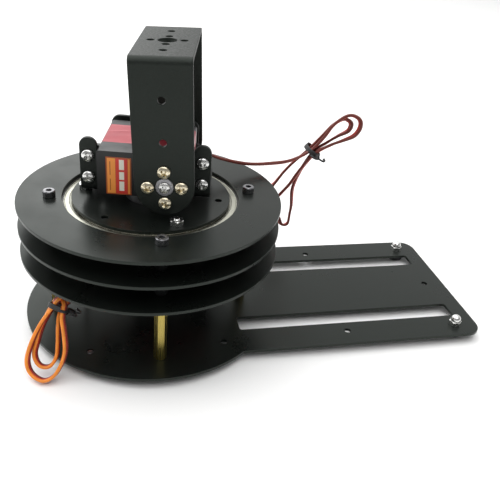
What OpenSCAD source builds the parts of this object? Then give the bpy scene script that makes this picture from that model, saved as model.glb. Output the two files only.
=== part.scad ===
// Pan and tilt camera mount: a hobby servo turns a disc on a large thin-section ball bearing, and a
// second servo on that disc tilts a U bracket, which carries the camera. All sizes are millimetres.
// The origin is on the ground below the middle of the base, +Z is up and the base's tail points to +X.

/* [Base and decks] */
// Diameter of the round decks
deck_d = 120; // [116:1:126]
// Thickness of the aluminium decks and of the base
sheet_t = 1.5; // [1.2:0.1:1.5]
// Width of the base's tail
tail_w = 92; // [86:1:100]
// Distance from the pan axis to the end of the tail
tail_reach = 163; // [160:1:180]
// Height of the rubber feet
foot_h = 4; // [3:0.5:6]
// Length of the four brass standoffs
standoff_h = 33.5; // [33:0.5:40]
// Length of the spacers between the servo deck and the bearing deck
lower_spacer_h = 11; // [11:0.5:14]
// Radius of the circle that the standoffs and spacers stand on
post_r = 45.5; // [45.5:0.5:50]

/* [Turntable bearing] */
// Bore of the bearing
bearing_bore = 65; // [65:0.5:66]
// Outer diameter of the bearing
bearing_od = 85; // [84:0.5:85]
// Width of the bearing, which is also the length of the upper spacers
bearing_w = 10; // [9:0.5:12]
// Diameter of the bearing's balls
ball_d = 5.5; // [5:0.1:5.6]
// Number of balls
ball_count = 24; // [18:1:26]
// Diameter of the disc that turns on the inner race
pan_disc_d = 72; // [70:0.5:74]

/* [Servos] */
// Length of a servo's case
servo_l = 40; // [40:0.1:40.6]
// Width of a servo's case
servo_w = 20; // [19.6:0.1:20.2]
// Distance from the mounting face down to the bottom of the case
servo_depth = 28; // [27:0.5:30]
// Distance from the mounting face up to the top of the case
servo_rise = 10.5; // [10.3:0.1:10.8]
// Diameter of the round servo horns
horn_d = 20.5; // [20:0.5:24]

/* [Brackets] */
// Thickness of the bracket sheet
bracket_t = 2; // [1.8:0.1:2]
// Width of the U bracket's arms
arm_w = 25; // [22:0.5:25]
// Distance from the tilt axis up to the top of the U bracket
u_rise = 53.5; // [48:0.5:58]

/* [Pose at rest] */
// Pan of the turntable at rest, in degrees
pan_rest = -12.1; // [-30:0.1:30]
// Lean of the U bracket at rest, in degrees
tilt_rest = -2.8; // [-20:0.1:20]

/* [Hidden] */
$fn = 48;
cut = 1;

// M3 hardware
m3_r = 1.45;
m3_hole_r = 1.6;
m3_tap_r = 1.5;
m3_head_r = 2.75;
m3_socket_h = 3;
m3_pan_h = 1.8;
m3_nut_af = 5.5;
m3_nut_h = 2.4;
recess_w = 0.9;
recess_l = 3;

// Heights of the stack
base_z = foot_h;
base_top = base_z + sheet_t;
servo_deck_z = base_top + standoff_h;
servo_deck_top = servo_deck_z + sheet_t;
bearing_deck_z = servo_deck_top + lower_spacer_h;
bearing_z = bearing_deck_z + sheet_t;
top_ring_z = bearing_z + bearing_w;
turntable_top = top_ring_z + sheet_t;
upper_hub_h = 4;
bracket_z = turntable_top + upper_hub_h;

// Base
deck_r = deck_d / 2;
pan_x = -(tail_reach - deck_r) / 2;
tail_corner_r = 8;
slot_y = [20, 30];
slot_x = [40, 154];
foot_r = 5;
foot_back = [30.5, 38];
foot_front = [151, 37.5];
tail_hole = [93, 36.5];
end_hole_x = tail_reach - 11;
post_af = 5;
post_angles = [0, 90, 180, 270];

// Bearing
race_pitch_r = (bearing_bore + bearing_od) / 4;
ball_clear = 0.1;
inner_race_r = race_pitch_r - 1.9;
outer_race_r = race_pitch_r + 1.9;
shield_t = 0.4;
cage_t = 1.6;
cage_h = 7;
bearing_window_r = 38.5;
ring_window_r = 40.2;

// Turntable
pan_disc_r = pan_disc_d / 2;
hub_r = 12;
hub_bore_r = 4.1;
horn_screw_r = 7;
clamp_bolt_r = 30.8;
clamp_inner_r = 26;
clamp_outer_r = 35;
clamp_turn = -3.3;
clamp_angles = [for (a = [60, 180, 300]) a + clamp_turn];
turntable_holes = [for (a = [0 : 60 : 300]) a + clamp_turn];

// Servo: the origin is on the output shaft's axis at the mounting face, and the shaft points to +Z
shaft_off = 10;
lug_t = 2.5;
lug_reach = 7.5;
lug_hole_off = [24.75, 5];
bottom_h = 6;
middle_h = servo_depth - bottom_h;
wall = 1.2;
case_r = 1.2;
spline_r = 2.95;
spline_h = 3.8;
case_screw_off = [18.2, 8.2];
case_post_r = 1.7;
case_bore_r = 1.1;
case_tap_r = 0.95;
horn_z = servo_rise + 1;
horn_collar_h = 4.5;
horn_disc_h = 3;
horn_top = horn_z + horn_collar_h + horn_disc_h;
horn_boss_h = 2;
horn_boss_r = 3.95;
lower_hub_h = top_ring_z - (servo_deck_top + horn_top);
lead_exit_z = 3 - servo_depth;

// Gear train: every mesh has the same centre distance, and the layers go up from the mounting face
tooth = 0.4;
pressure = 25;
gear_axis = 10;
backlash = 0.1;
layer_z = [0.3, 1.7, 3.4, 5.3];
layer_h = [1.2, 1.5, 1.7, 2.4];
axle_r = 0.75;

// Tilt servo, its bracket and the U bracket, in the turntable's own frame
tilt_x = 8.3;
tilt_z = bracket_z + bracket_t + servo_w / 2;
servo_face_y = -5;
ear_y = servo_face_y - lug_t - bracket_t;
ear_top = tilt_z + 13;
ear_w = 7.7;
body_gap = 0.8;
body_x = [tilt_x - servo_l + shaft_off, tilt_x + shaft_off];
bracket_x = [body_x[0] - body_gap - ear_w, body_x[1] + body_gap + ear_w];
rear_wall_y = servo_face_y + servo_depth + 2.5;
rear_wall_top = tilt_z + 11.5;
bend_r = 3;
arm_front_y = servo_face_y - horn_top - bracket_t;
arm_rear_y = rear_wall_y + bracket_t + 1.5;
arm_r = arm_w / 2;
arm_holes = [19.3, 36.8];
camera_hole_y = 17;
u_top_z = tilt_z + u_rise;
u_mid_y = (arm_front_y + arm_rear_y + bracket_t) / 2;
idler_r = 4;
idler_w = 3.1;
idler_flange = 0.9;

// Leads: three-wire servo leads in the middle of their routes, with the exit first and the plug last
lead_d = 2.6;
lead_sides = 8;
pan_route = [[-11.5, 0, 15.5], [-15, 0, 15.5], [-22, -5, 18], [-28, -14, 23], [-33, -22, 28],
    [-38, -30, 33], [-42.5, -36, 34], [-45.5, -37.5, 30], [-50.5, -39.5, 23], [-54.5, -42.5, 15.5],
    [-56.5, -45, 8.5], [-55, -48, 4], [-50.5, -50.5, 1.7], [-46, -50, 3], [-42.5, -48, 7.5],
    [-40.5, -46, 13.5], [-40.5, -43.5, 21], [-41, -41, 27], [-40, -37.5, 31], [-42, -33, 31],
    [-46, -34, 27], [-49.5, -37, 21.5], [-52, -39.5, 15], [-53.5, -42.5, 9.5], [-51.5, -45.5, 6],
    [-47.5, -46, 5.5], [-44.5, -44, 9], [-43.5, -41.5, 15], [-43, -39, 21], [-42, -36.5, 26.5],
    [-38.5, -32.5, 29.5], [-35, -26.5, 27], [-33.5, -19, 22.5], [-33.5, -10, 17.5], [-33, 1, 13],
    [-31, 11, 10.5], [-26, 21, 8.5], [-20, 28, 7.5], [-14, 31, 7], [-10, 31, 7]];
tilt_route = [[19.8, 20, 80.5], [22.5, 21, 79.5], [27, 24, 75.5], [35, 27, 72.5], [45, 32, 69.5],
    [55.5, 37, 68.5], [66.5, 43, 68.5], [76.8, 49, 72.3], [83, 50, 79.5], [87, 50, 86.5],
    [91.5, 49, 91.5], [95.5, 48, 93.5], [99.5, 47, 92], [100.5, 47, 88], [98.5, 48, 83],
    [93.5, 49, 79.5], [87, 49.5, 76], [79.2, 49, 70.7], [73, 51, 60], [69, 52.5, 51.5], [64.5, 54, 44],
    [60.5, 55, 41], [58.5, 55.5, 44], [61, 55.5, 50], [67, 54.5, 60], [76.8, 52.4, 72.3], [83, 53, 80],
    [87.5, 53, 86], [92, 52.5, 89.5], [95.8, 52, 89], [96, 52, 85], [91, 52.5, 80.5], [85.5, 53, 76],
    [79.2, 52.5, 70.7], [74, 54.5, 59], [71, 56.5, 47], [71.5, 57, 36], [72, 58, 27], [70, 58, 21.5],
    [66.5, 58, 22], [65, 58, 26.5], [62, 58, 28], [61, 58, 24], [61, 58, 20]];
grommet_out = 1.5;
lead_slot = [6, 2.6];
plug_size = [14, 7.6, 2.6];
tie_w = 3;
tie_band = 0.8;
pan_tie_at = [-42.5, -36, 29];
pan_tie_opening = [9, 8.5];
tilt_tie_at = [77.2, 50.8, 70.4];
tilt_tie_opening = [6.5, 7];
pin_pitch = 2.54;
pin_hole = 0.9;
pin_depth = 8;

// Frames
module at_pan() {
    translate([pan_x, 0, 0]) children();
}

module on_turntable() {
    at_pan() rotate([0, 0, pan_rest]) children();
}

module on_tilt() {
    on_turntable()
        translate([tilt_x, 0, tilt_z]) rotate([0, tilt_rest, 0]) translate([-tilt_x, 0, -tilt_z]) children();
}

// A servo's place: the pan servo hangs in its deck, the tilt servo lies on the turntable
module at_pan_servo() {
    at_pan() translate([0, 0, servo_deck_top]) children();
}

module at_tilt_servo() {
    translate([tilt_x, servo_face_y, tilt_z]) rotate([90, 180, 0]) children();
}

module ring_of(angles, r) {
    for (a = angles) rotate([0, 0, a]) translate([r, 0, 0]) children();
}

module tube(outer, inner, h) {
    difference() {
        cylinder(r = outer, h = h);
        translate([0, 0, -cut]) cylinder(r = inner, h = h + 2 * cut);
    }
}

module hex_post(af, h) {
    rotate([0, 0, 30]) cylinder(r = af / sqrt(3), h = h, $fn = 6);
}

module hex_tube(af, inner, h) {
    difference() {
        hex_post(af, h);
        translate([0, 0, -cut]) cylinder(r = inner, h = h + 2 * cut);
    }
}

module rounded_box(size, r, h) {
    linear_extrude(h) rounded_rect(size, r);
}

module rounded_rect(size, r) {
    square([size[0], size[1] - 2 * r], center = true);
    square([size[0] - 2 * r, size[1]], center = true);
    for (x = [-1, 1], y = [-1, 1])
        translate([x * (size[0] / 2 - r), y * (size[1] / 2 - r)]) circle(r);
}

// Screws point down: the head stands on z = 0 and the shank goes to -length
module cross_recess() {
    for (a = [0, 90]) rotate([0, 0, a])
        translate([-recess_l / 2, -recess_w / 2, -recess_w]) cube([recess_l, recess_w, recess_w + cut]);
}

module pan_screw(length, head_r = m3_head_r, head_h = m3_pan_h, r = m3_r) {
    translate([0, 0, -length]) cylinder(r = r, h = length + head_h / 4);
    difference() {
        union() {
            cylinder(r = head_r, h = head_h / 2);
            translate([0, 0, head_h / 2]) cylinder(r1 = head_r, r2 = head_r * 0.7, h = head_h / 2);
        }
        translate([0, 0, head_h]) scale(head_r / m3_head_r) cross_recess();
    }
}

module socket_screw(length) {
    translate([0, 0, -length]) cylinder(r = m3_r, h = length + cut);
    difference() {
        cylinder(r = m3_head_r, h = m3_socket_h);
        translate([0, 0, m3_socket_h / 2]) cylinder(r = 2.5 / sqrt(3), h = m3_socket_h, $fn = 6);
    }
}

// A countersunk screw ends flush at z = 0
module countersunk_screw(length) {
    head_h = m3_head_r - m3_r;
    difference() {
        union() {
            translate([0, 0, -length]) cylinder(r = m3_r, h = length);
            translate([0, 0, -head_h]) cylinder(r1 = m3_r, r2 = m3_head_r, h = head_h);
        }
        cross_recess();
    }
}

module countersink() {
    head_h = m3_head_r - m3_r;
    translate([0, 0, -head_h]) cylinder(r1 = m3_hole_r, r2 = m3_head_r + 0.15, h = head_h);
    cylinder(r = m3_head_r + 0.15, h = cut);
}

module nut() {
    hex_tube(m3_nut_af, m3_tap_r, m3_nut_h);
}

// ---- Base ----
module base_outline() {
    circle(deck_r);
    translate([0, -tail_w / 2]) square([tail_reach - tail_corner_r, tail_w]);
    translate([0, -tail_w / 2 + tail_corner_r]) square([tail_reach, tail_w - 2 * tail_corner_r]);
    for (side = [-1, 1])
        translate([tail_reach - tail_corner_r, side * (tail_w / 2 - tail_corner_r)]) circle(tail_corner_r);
}

module foot_places() {
    for (side = [-1, 1]) {
        translate([-foot_back[0], side * foot_back[1], 0]) children();
        translate([foot_front[0], side * foot_front[1], 0]) children();
    }
}

module base_plate() {
    color("#1c1d1f") at_pan() difference() {
        translate([0, 0, base_z]) linear_extrude(sheet_t) base_outline();
        for (side = [-1, 1]) {
            translate([slot_x[0], side * (slot_y[0] + slot_y[1]) / 2 - (slot_y[1] - slot_y[0]) / 2, 0])
                cube([slot_x[1] - slot_x[0], slot_y[1] - slot_y[0], base_top + cut]);
            translate([tail_hole[0], side * tail_hole[1], 0]) cylinder(r = m3_hole_r, h = base_top + cut);
            translate([foot_back[0], side * foot_back[1], 0]) cylinder(r = m3_hole_r, h = base_top + cut);
        }
        translate([end_hole_x, 0, 0]) cylinder(r = m3_hole_r, h = base_top + cut);
        foot_places() cylinder(r = m3_tap_r, h = base_top + cut);
        ring_of(post_angles, post_r) cylinder(r = m3_hole_r, h = base_top + cut);
    }
}

module rubber_feet() {
    color("#151515") at_pan() foot_places() difference() {
        cylinder(r1 = foot_r - 0.6, r2 = foot_r, h = foot_h);
        translate([0, 0, -cut]) cylinder(r = m3_hole_r, h = foot_h + 2 * cut);
        translate([0, 0, -cut]) cylinder(r = m3_head_r + 0.15, h = foot_h / 2 + cut);
    }
}

module base_screws() {
    color("silver") at_pan() {
        for (side = [-1, 1]) {
            translate([-foot_back[0], side * foot_back[1], foot_h / 2]) rotate([180, 0, 0])
                pan_screw(base_top - foot_h / 2 - 0.1, head_h = 1.4);
            translate([foot_front[0], side * foot_front[1], foot_h / 2]) rotate([180, 0, 0])
                pan_screw(base_top - foot_h / 2 + 3, head_h = 1.4);
        }
        ring_of(post_angles, post_r) translate([0, 0, base_z]) rotate([180, 0, 0]) pan_screw(sheet_t + 6);
    }
}

module foot_cap_nuts() {
    dome_r = m3_nut_af / 2 - 0.2;
    color("gainsboro") at_pan() for (side = [-1, 1])
        translate([foot_front[0], side * foot_front[1], base_top]) difference() {
            union() {
                hex_post(m3_nut_af, m3_nut_h);
                cylinder(r = dome_r, h = m3_nut_h + 0.6);
                translate([0, 0, m3_nut_h + 0.6]) sphere(dome_r);
            }
            translate([0, 0, -cut]) cylinder(r = m3_tap_r, h = cut + 3.6);
        }
}

module brass_standoffs() {
    color("#d8bf78") at_pan() ring_of(post_angles, post_r) translate([0, 0, base_top]) difference() {
        hex_post(post_af, standoff_h);
        translate([0, 0, -cut]) cylinder(r = m3_tap_r, h = 8 + cut);
        translate([0, 0, standoff_h - 8]) cylinder(r = m3_tap_r, h = 8 + cut);
    }
}

// ---- Decks ----
module servo_plate() {
    color("#1c1d1f") at_pan() translate([0, 0, servo_deck_z]) difference() {
        cylinder(r = deck_r, h = sheet_t);
        translate([-shaft_off - 0.25, -servo_w / 2 - 0.25, -cut])
            cube([servo_l + 0.5, servo_w + 0.5, sheet_t + 2 * cut]);
        translate([0, 0, -cut]) servo_screw_places() cylinder(r = m3_hole_r, h = sheet_t + 2 * cut);
        ring_of(post_angles, post_r) translate([0, 0, -cut]) cylinder(r = m3_hole_r, h = sheet_t + 2 * cut);
    }
}

module deck_ring(window_r) {
    difference() {
        cylinder(r = deck_r, h = sheet_t);
        translate([0, 0, -cut]) cylinder(r = window_r, h = sheet_t + 2 * cut);
        ring_of(post_angles, post_r) translate([0, 0, -cut]) cylinder(r = m3_hole_r, h = sheet_t + 2 * cut);
    }
}

module bearing_plate() {
    color("#1c1d1f") at_pan() translate([0, 0, bearing_deck_z]) deck_ring(bearing_window_r);
}

module top_ring() {
    color("#1c1d1f") at_pan() translate([0, 0, top_ring_z]) deck_ring(ring_window_r);
}

module lower_spacers() {
    color("#303133") at_pan() ring_of(post_angles, post_r) translate([0, 0, servo_deck_top])
        hex_tube(post_af, m3_hole_r, lower_spacer_h);
}

module upper_spacers() {
    color("#303133") at_pan() ring_of(post_angles, post_r) translate([0, 0, bearing_z])
        hex_tube(post_af, m3_hole_r, bearing_w);
}

module stack_screws() {
    color("#8e9094") at_pan() ring_of(post_angles, post_r) translate([0, 0, turntable_top])
        socket_screw(turntable_top - servo_deck_z + 5);
}

// ---- Bearing ----
module race(inner, outer) {
    at_pan() translate([0, 0, bearing_z]) rotate_extrude($fn = 96) difference() {
        translate([inner, 0]) square([outer - inner, bearing_w]);
        translate([race_pitch_r, bearing_w / 2]) circle(ball_d / 2 + ball_clear);
    }
}

module bearing_outer_race() {
    color("#b9b6ac") race(outer_race_r, bearing_od / 2);
}

module bearing_inner_race() {
    color("#b9b6ac") race(bearing_bore / 2, inner_race_r);
}

module bearing_shields() {
    shield_in = 0.4;
    color("#c9c2a4") at_pan() for (z = [shield_in, bearing_w - shield_in - shield_t])
        translate([0, 0, bearing_z + z]) tube(outer_race_r, inner_race_r + 0.25, shield_t);
}

module ball_places() {
    at_pan() translate([0, 0, bearing_z + bearing_w / 2])
        for (i = [0 : ball_count - 1]) rotate([0, 0, i * 360 / ball_count])
            translate([race_pitch_r, 0, 0]) children();
}

module bearing_cage() {
    color("#c8a452") difference() {
        at_pan() translate([0, 0, bearing_z + (bearing_w - cage_h) / 2])
            tube(race_pitch_r + cage_t / 2, race_pitch_r - cage_t / 2, cage_h);
        ball_places() rotate([0, 90, 0])
            cylinder(r = ball_d / 2 + ball_clear, h = 2 * cage_t, center = true);
    }
}

module bearing_balls() {
    color("white") ball_places() sphere(ball_d / 2);
}

// ---- Turntable ----
module pan_disc() {
    color("#1c1d1f") on_turntable() translate([0, 0, top_ring_z]) difference() {
        cylinder(r = pan_disc_r, h = sheet_t);
        translate([0, 0, -cut]) cylinder(r = hub_bore_r, h = sheet_t + 2 * cut);
        ring_of([45, 135, 225, 315], horn_screw_r) translate([0, 0, -cut])
            cylinder(r = m3_hole_r, h = sheet_t + 2 * cut);
        ring_of(turntable_holes, clamp_bolt_r) translate([0, 0, -cut])
            cylinder(r = m3_hole_r, h = sheet_t + 2 * cut);
    }
}

module clamp_disc() {
    color("#1c1d1f") on_turntable() translate([0, 0, bearing_deck_z]) difference() {
        tube(clamp_outer_r, clamp_inner_r, sheet_t);
        ring_of(clamp_angles, clamp_bolt_r) {
            translate([0, 0, -cut]) cylinder(r = m3_hole_r, h = sheet_t + 2 * cut);
            mirror([0, 0, 1]) countersink();
        }
    }
}

module clamp_fasteners() {
    color("silver") on_turntable() ring_of(clamp_angles, clamp_bolt_r) {
        translate([0, 0, bearing_deck_z]) mirror([0, 0, 1]) countersunk_screw(16);
        translate([0, 0, turntable_top]) nut();
    }
}

module hub_spacer(h) {
    difference() {
        cylinder(r = hub_r, h = h);
        translate([0, 0, -cut]) cylinder(r = hub_bore_r, h = h + 2 * cut);
        ring_of([45, 135, 225, 315], horn_screw_r) translate([0, 0, -cut])
            cylinder(r = m3_hole_r, h = h + 2 * cut);
    }
}

module hub_spacers() {
    color("#5b5d60") on_turntable() {
        translate([0, 0, servo_deck_top + horn_top]) hub_spacer(lower_hub_h);
        translate([0, 0, turntable_top]) hub_spacer(upper_hub_h);
    }
}

// ---- Servo parts, in the servo's own frame ----
module servo_box(size_off, r, z, h) {
    translate([servo_l / 2 - shaft_off, 0, z])
        rounded_box([servo_l + 2 * size_off, servo_w + 2 * size_off], r, h);
}

module servo_screw_places() {
    for (x = [-1, 1], y = [-1, 1])
        translate([servo_l / 2 - shaft_off + x * lug_hole_off[0], y * lug_hole_off[1], 0]) children();
}

module case_screw_places() {
    for (x = [-1, 1], y = [-1, 1])
        translate([servo_l / 2 - shaft_off + x * case_screw_off[0], y * case_screw_off[1], 0]) children();
}

module servo_bottom_case() {
    floor_h = wall;
    cavity_h = bottom_h - floor_h;
    difference() {
        servo_box(0, case_r, -servo_depth, bottom_h);
        servo_box(-wall, 0.4, -servo_depth + floor_h, cavity_h + cut);
        translate([-shaft_off - cut, -lead_slot[0] / 2, lead_exit_z - lead_slot[1] / 2])
            cube([wall + 2 * cut, lead_slot[0], lead_slot[1]]);
        case_screw_places() translate([0, 0, -servo_depth - cut]) cylinder(r = case_bore_r, h = servo_depth);
    }
    case_screw_places() translate([0, 0, -servo_depth]) tube(case_post_r, case_bore_r, bottom_h);
}

module servo_middle_case() {
    difference() {
        servo_box(0, case_r, -middle_h, middle_h);
        servo_box(-wall, 0.4, -middle_h - cut, middle_h - 1 + cut);
        case_screw_places() translate([0, 0, -middle_h - cut]) cylinder(r = case_bore_r, h = servo_depth);
        translate([2 * gear_axis, 0, -middle_h]) cylinder(r = 3, h = servo_depth);
    }
    case_screw_places() translate([0, 0, -middle_h]) tube(case_post_r, case_bore_r, middle_h - 0.5);
    translate([gear_axis, 0, -0.5]) cylinder(r = axle_r, h = layer_z[3] + layer_h[3] + 1);
}

module servo_top_case() {
    roof = 1.4;
    difference() {
        union() {
            servo_box(0, case_r, 0, servo_rise);
            translate([servo_l / 2 - shaft_off, 0, 0])
                rounded_box([servo_l + 2 * lug_reach, servo_w - 2], 1, lug_t);
            cylinder(r = 5.4, h = servo_rise + 0.5);
        }
        servo_box(-wall, 0.4, -cut, servo_rise - roof + cut);
        translate([0, 0, -cut]) cylinder(r = 3.05, h = servo_rise + 2 + cut);
        servo_screw_places() translate([0, 0, -cut]) cylinder(r = m3_hole_r, h = lug_t + 2 * cut);
        case_screw_places() translate([0, 0, -cut]) cylinder(r = case_tap_r, h = cut + 6.5);
    }
    case_screw_places() tube(case_post_r, case_tap_r, servo_rise - roof + 0.2);
}

module servo_case_screws() {
    case_screw_places() translate([0, 0, -servo_depth]) mirror([0, 0, 1])
        pan_screw(servo_depth + 6, head_r = 1.6, head_h = 0.8, r = 0.9);
}

module servo_motor() {
    can_r = 7.3;
    can_h = middle_h - 3.5;
    collar_r = 2.6;
    end_cap_r = 2;
    motor_shaft_r = 0.7;
    translate([2 * gear_axis, 0, -middle_h + 1.5]) {
        cylinder(r = can_r, h = can_h);
        cylinder(r = collar_r, h = can_h + 1.2);
        translate([0, 0, -1]) cylinder(r = end_cap_r, h = 1.5);
        cylinder(r = motor_shaft_r, h = middle_h - 1.5 + layer_h[0]);
    }
}

module servo_board() {
    board_t = 1.2;
    chip = 6;
    pot_z = 8;
    pot_r = 5.2;
    pot_h = 6;
    pot_shaft_r = 1.4;
    translate([servo_l / 2 - shaft_off, 0, -middle_h - 2.2]) difference() {
        rounded_box([servo_l - 8, servo_w - 4], 1, board_t);
        for (x = [-1, 1]) translate([x * 12, 6, -cut]) cylinder(r = 0.5, h = board_t + 2 * cut);
    }
    translate([servo_l / 2 - shaft_off - 4, -chip / 2, -middle_h - 3.2]) cube([chip, chip, 1]);
    // The potentiometer stands under the output shaft
    translate([0, 0, -middle_h - 1]) cylinder(r = 0.6, h = pot_z + 1);
    translate([0, 0, -middle_h + pot_z]) cylinder(r = pot_r, h = pot_h);
    translate([0, 0, -middle_h + pot_z + pot_h]) cylinder(r = pot_shaft_r, h = 3);
}

// Four screws with nuts; the clamped pieces reach from the screw heads down by grip
module servo_screws(head_z, grip) {
    servo_screw_places() translate([0, 0, head_z]) {
        pan_screw(grip + m3_nut_h + 0.6);
        translate([0, 0, -grip - m3_nut_h]) nut();
    }
}

// ---- Gears ----
// Half the angle of a tooth at radius r, for an involute of the pitch radius p
function involute(a) = tan(a) - a * PI / 180;
function base_radius(teeth) = tooth * teeth / 2 * cos(pressure);
function half_tooth(teeth, r) =
    90 / teeth + (involute(pressure) - involute(acos(min(1, base_radius(teeth) / r)))) * 180 / PI
    - backlash / (tooth * teeth) * 180 / PI;

module gear_outline(teeth) {
    pitch_r = tooth * teeth / 2;
    tip_r = pitch_r + 0.9 * tooth;
    root_r = pitch_r - 1.2 * tooth;
    low_r = max(root_r, base_radius(teeth));
    tip_a = half_tooth(teeth, tip_r);
    low_a = half_tooth(teeth, low_r);
    flanks = [[root_r, -low_a], [tip_r, -tip_a], [tip_r, tip_a], [root_r, low_a]];
    polygon([for (i = [0 : teeth - 1], p = flanks)
        let (a = i * 360 / teeth + p[1]) [p[0] * cos(a), p[0] * sin(a)]]);
}

// A toothed wheel in a layer; phase turns it by a part of its own tooth pitch
module wheel(teeth, layer, phase, bore) {
    translate([0, 0, layer_z[layer]]) linear_extrude(layer_h[layer]) difference() {
        rotate(phase * 360 / teeth) gear_outline(teeth);
        circle(bore);
    }
}

module motor_pinion() {
    translate([2 * gear_axis, 0, 0]) wheel(10, 0, 0.5, 0.75);
}

module double_gear(axis_x, layer, big, small, phase, small_phase) {
    bore = axle_r + 0.05;
    translate([axis_x, 0, 0]) {
        wheel(big, layer, phase, bore);
        wheel(small, layer + 1, small_phase, bore);
        translate([0, 0, layer_z[layer] + layer_h[layer]])
            tube(1.4, bore, layer_z[layer + 1] - layer_z[layer] - layer_h[layer]);
    }
}

// Two wheels mesh when one has a tooth on the line between the axes and the other has a gap there
module gear_1() {
    double_gear(gear_axis, 0, 40, 10, 0, 0);
}

module gear_2() {
    double_gear(0, 1, 40, 10, 0.5, 0);
}

module gear_3() {
    double_gear(gear_axis, 2, 40, 12, 0.5, 0);
}

module output_shaft() {
    wheel_top = layer_z[3] + layer_h[3];
    difference() {
        union() {
            wheel(38, 3, 0.5, axle_r);
            translate([0, 0, wheel_top]) cylinder(r = 3, h = servo_rise - wheel_top);
            translate([0, 0, servo_rise]) cylinder(r = spline_r, h = spline_h);
            translate([0, 0, layer_z[0]]) cylinder(r = axle_r, h = wheel_top - layer_z[0] + 1);
        }
        translate([0, 0, servo_rise + spline_h - 6]) cylinder(r = 1.25, h = 6 + cut);
    }
}

module servo_horn() {
    difference() {
        union() {
            translate([0, 0, horn_z]) cylinder(r = 4.5, h = horn_collar_h);
            translate([0, 0, horn_z + horn_collar_h]) cylinder(r = horn_d / 2, h = horn_disc_h);
            translate([0, 0, horn_top]) cylinder(r = horn_boss_r, h = horn_boss_h);
        }
        translate([0, 0, horn_z - cut]) cylinder(r = spline_r + 0.03, h = spline_h + cut);
        cylinder(r = m3_tap_r, h = horn_top + horn_boss_h + cut);
        ring_of([0, 90, 180, 270], horn_screw_r) translate([0, 0, horn_z])
            cylinder(r = m3_tap_r, h = horn_top);
    }
}

module horn_centre_screw() {
    translate([0, 0, horn_top + horn_boss_h]) pan_screw(horn_boss_h + horn_disc_h + 4, head_h = 1.3, r = 1.2);
}

// ---- Leads ----
function unit(v) = v / norm(v);
function along(route, i) =
    unit(route[min(i + 1, len(route) - 1)] - route[max(i - 1, 0)]);
// The ring's first direction is carried along the route, so that the tube doesn't twist
function carried(route, i) = i == 0
    ? unit(cross(along(route, 0), [0.3, 0.4, 1]))
    : let (t = along(route, i), last = carried(route, i - 1)) unit(last - (last * t) * t);
function ring_points(route, i) =
    let (t = along(route, i), a = carried(route, i), b = cross(t, a))
    [for (k = [0 : lead_sides - 1])
        route[i] + lead_d / 2 * (cos(k * 360 / lead_sides) * a + sin(k * 360 / lead_sides) * b)];

module swept_tube(route) {
    count = len(route);
    points = [for (i = [0 : count - 1]) each ring_points(route, i)];
    sides = [for (i = [0 : count - 2], k = [0 : lead_sides - 1])
        let (n = (k + 1) % lead_sides)
        each [[i * lead_sides + k, (i + 1) * lead_sides + k, i * lead_sides + n],
            [i * lead_sides + n, (i + 1) * lead_sides + k, (i + 1) * lead_sides + n]]];
    near_end = [[for (k = [0 : lead_sides - 1]) k]];
    far_end = [[for (k = [lead_sides - 1 : -1 : 0]) (count - 1) * lead_sides + k]];
    polyhedron(points, concat(sides, near_end, far_end), convexity = 10);
}

// A rubber grommet: its sleeve stands out of the case, and its flange is inside the wall
module lead_grommet() {
    translate([-shaft_off, 0, lead_exit_z]) rotate([0, -90, 0]) {
        linear_extrude(grommet_out) square([2.2, 4.6], center = true);
        translate([0, 0, -wall]) linear_extrude(wall) square([2.5, 5.8], center = true);
        translate([0, 0, -wall - 1]) linear_extrude(1) square([3.2, 6.6], center = true);
    }
}

// A three-way plug: its wires enter at the origin and the body goes on along +X
module lead_plug() {
    difference() {
        translate([0, -plug_size[1] / 2, -plug_size[2] / 2]) cube(plug_size);
        for (i = [-1, 0, 1])
            translate([plug_size[0] - pin_depth, i * pin_pitch - pin_hole / 2, -pin_hole / 2])
                cube([pin_depth + cut, pin_hole, pin_hole]);
    }
}

module lead_tie(opening) {
    difference() {
        rounded_box([opening[0] + 2 * tie_band, opening[1] + 2 * tie_band], 1.2, tie_w);
        translate([0, 0, -cut]) rounded_box(opening, 0.8, tie_w + 2 * cut);
    }
}

// ---- Pan servo ----
module pan_servo_bottom_case() {
    color("#18191b") at_pan_servo() servo_bottom_case();
}

module pan_servo_middle_case() {
    color("#7d1f26") at_pan_servo() servo_middle_case();
}

module pan_servo_top_case() {
    color("#18191b") at_pan_servo() servo_top_case();
}

module pan_servo_motor() {
    color("silver") at_pan_servo() servo_motor();
}

module pan_servo_board() {
    color("darkgreen") at_pan_servo() servo_board();
}

module pan_servo_case_screws() {
    color("silver") at_pan_servo() servo_case_screws();
}

module pan_servo_screws() {
    color("silver") at_pan_servo() servo_screws(lug_t, lug_t + sheet_t);
}

module pan_lead_grommet() {
    color("#151515") at_pan_servo() lead_grommet();
}

module pan_lead() {
    color("#a8431f") at_pan() swept_tube(pan_route);
}

module pan_lead_plug() {
    color("#151515") at_pan() translate(pan_route[len(pan_route) - 1]) lead_plug();
}

module pan_lead_tie() {
    color("#151515") at_pan() translate(pan_tie_at) rotate([0, 0, 40]) rotate([0, 20, 0])
        lead_tie(pan_tie_opening);
}

module pan_pinion() {
    color("goldenrod") at_pan_servo() motor_pinion();
}

module pan_gear_1() {
    color("goldenrod") at_pan_servo() gear_1();
}

module pan_gear_2() {
    color("goldenrod") at_pan_servo() gear_2();
}

module pan_gear_3() {
    color("goldenrod") at_pan_servo() gear_3();
}

module pan_horn() {
    color("#2c2d30") on_turntable() translate([0, 0, servo_deck_top]) rotate([0, 0, 45]) servo_horn();
}

module pan_output_shaft() {
    color("goldenrod") at_pan_servo() output_shaft();
}

module pan_horn_screws() {
    color("silver") on_turntable() {
        ring_of([45, 135, 225, 315], horn_screw_r) translate([0, 0, bracket_z + bracket_t])
            countersunk_screw(14);
        translate([0, 0, servo_deck_top]) horn_centre_screw();
    }
}

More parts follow.
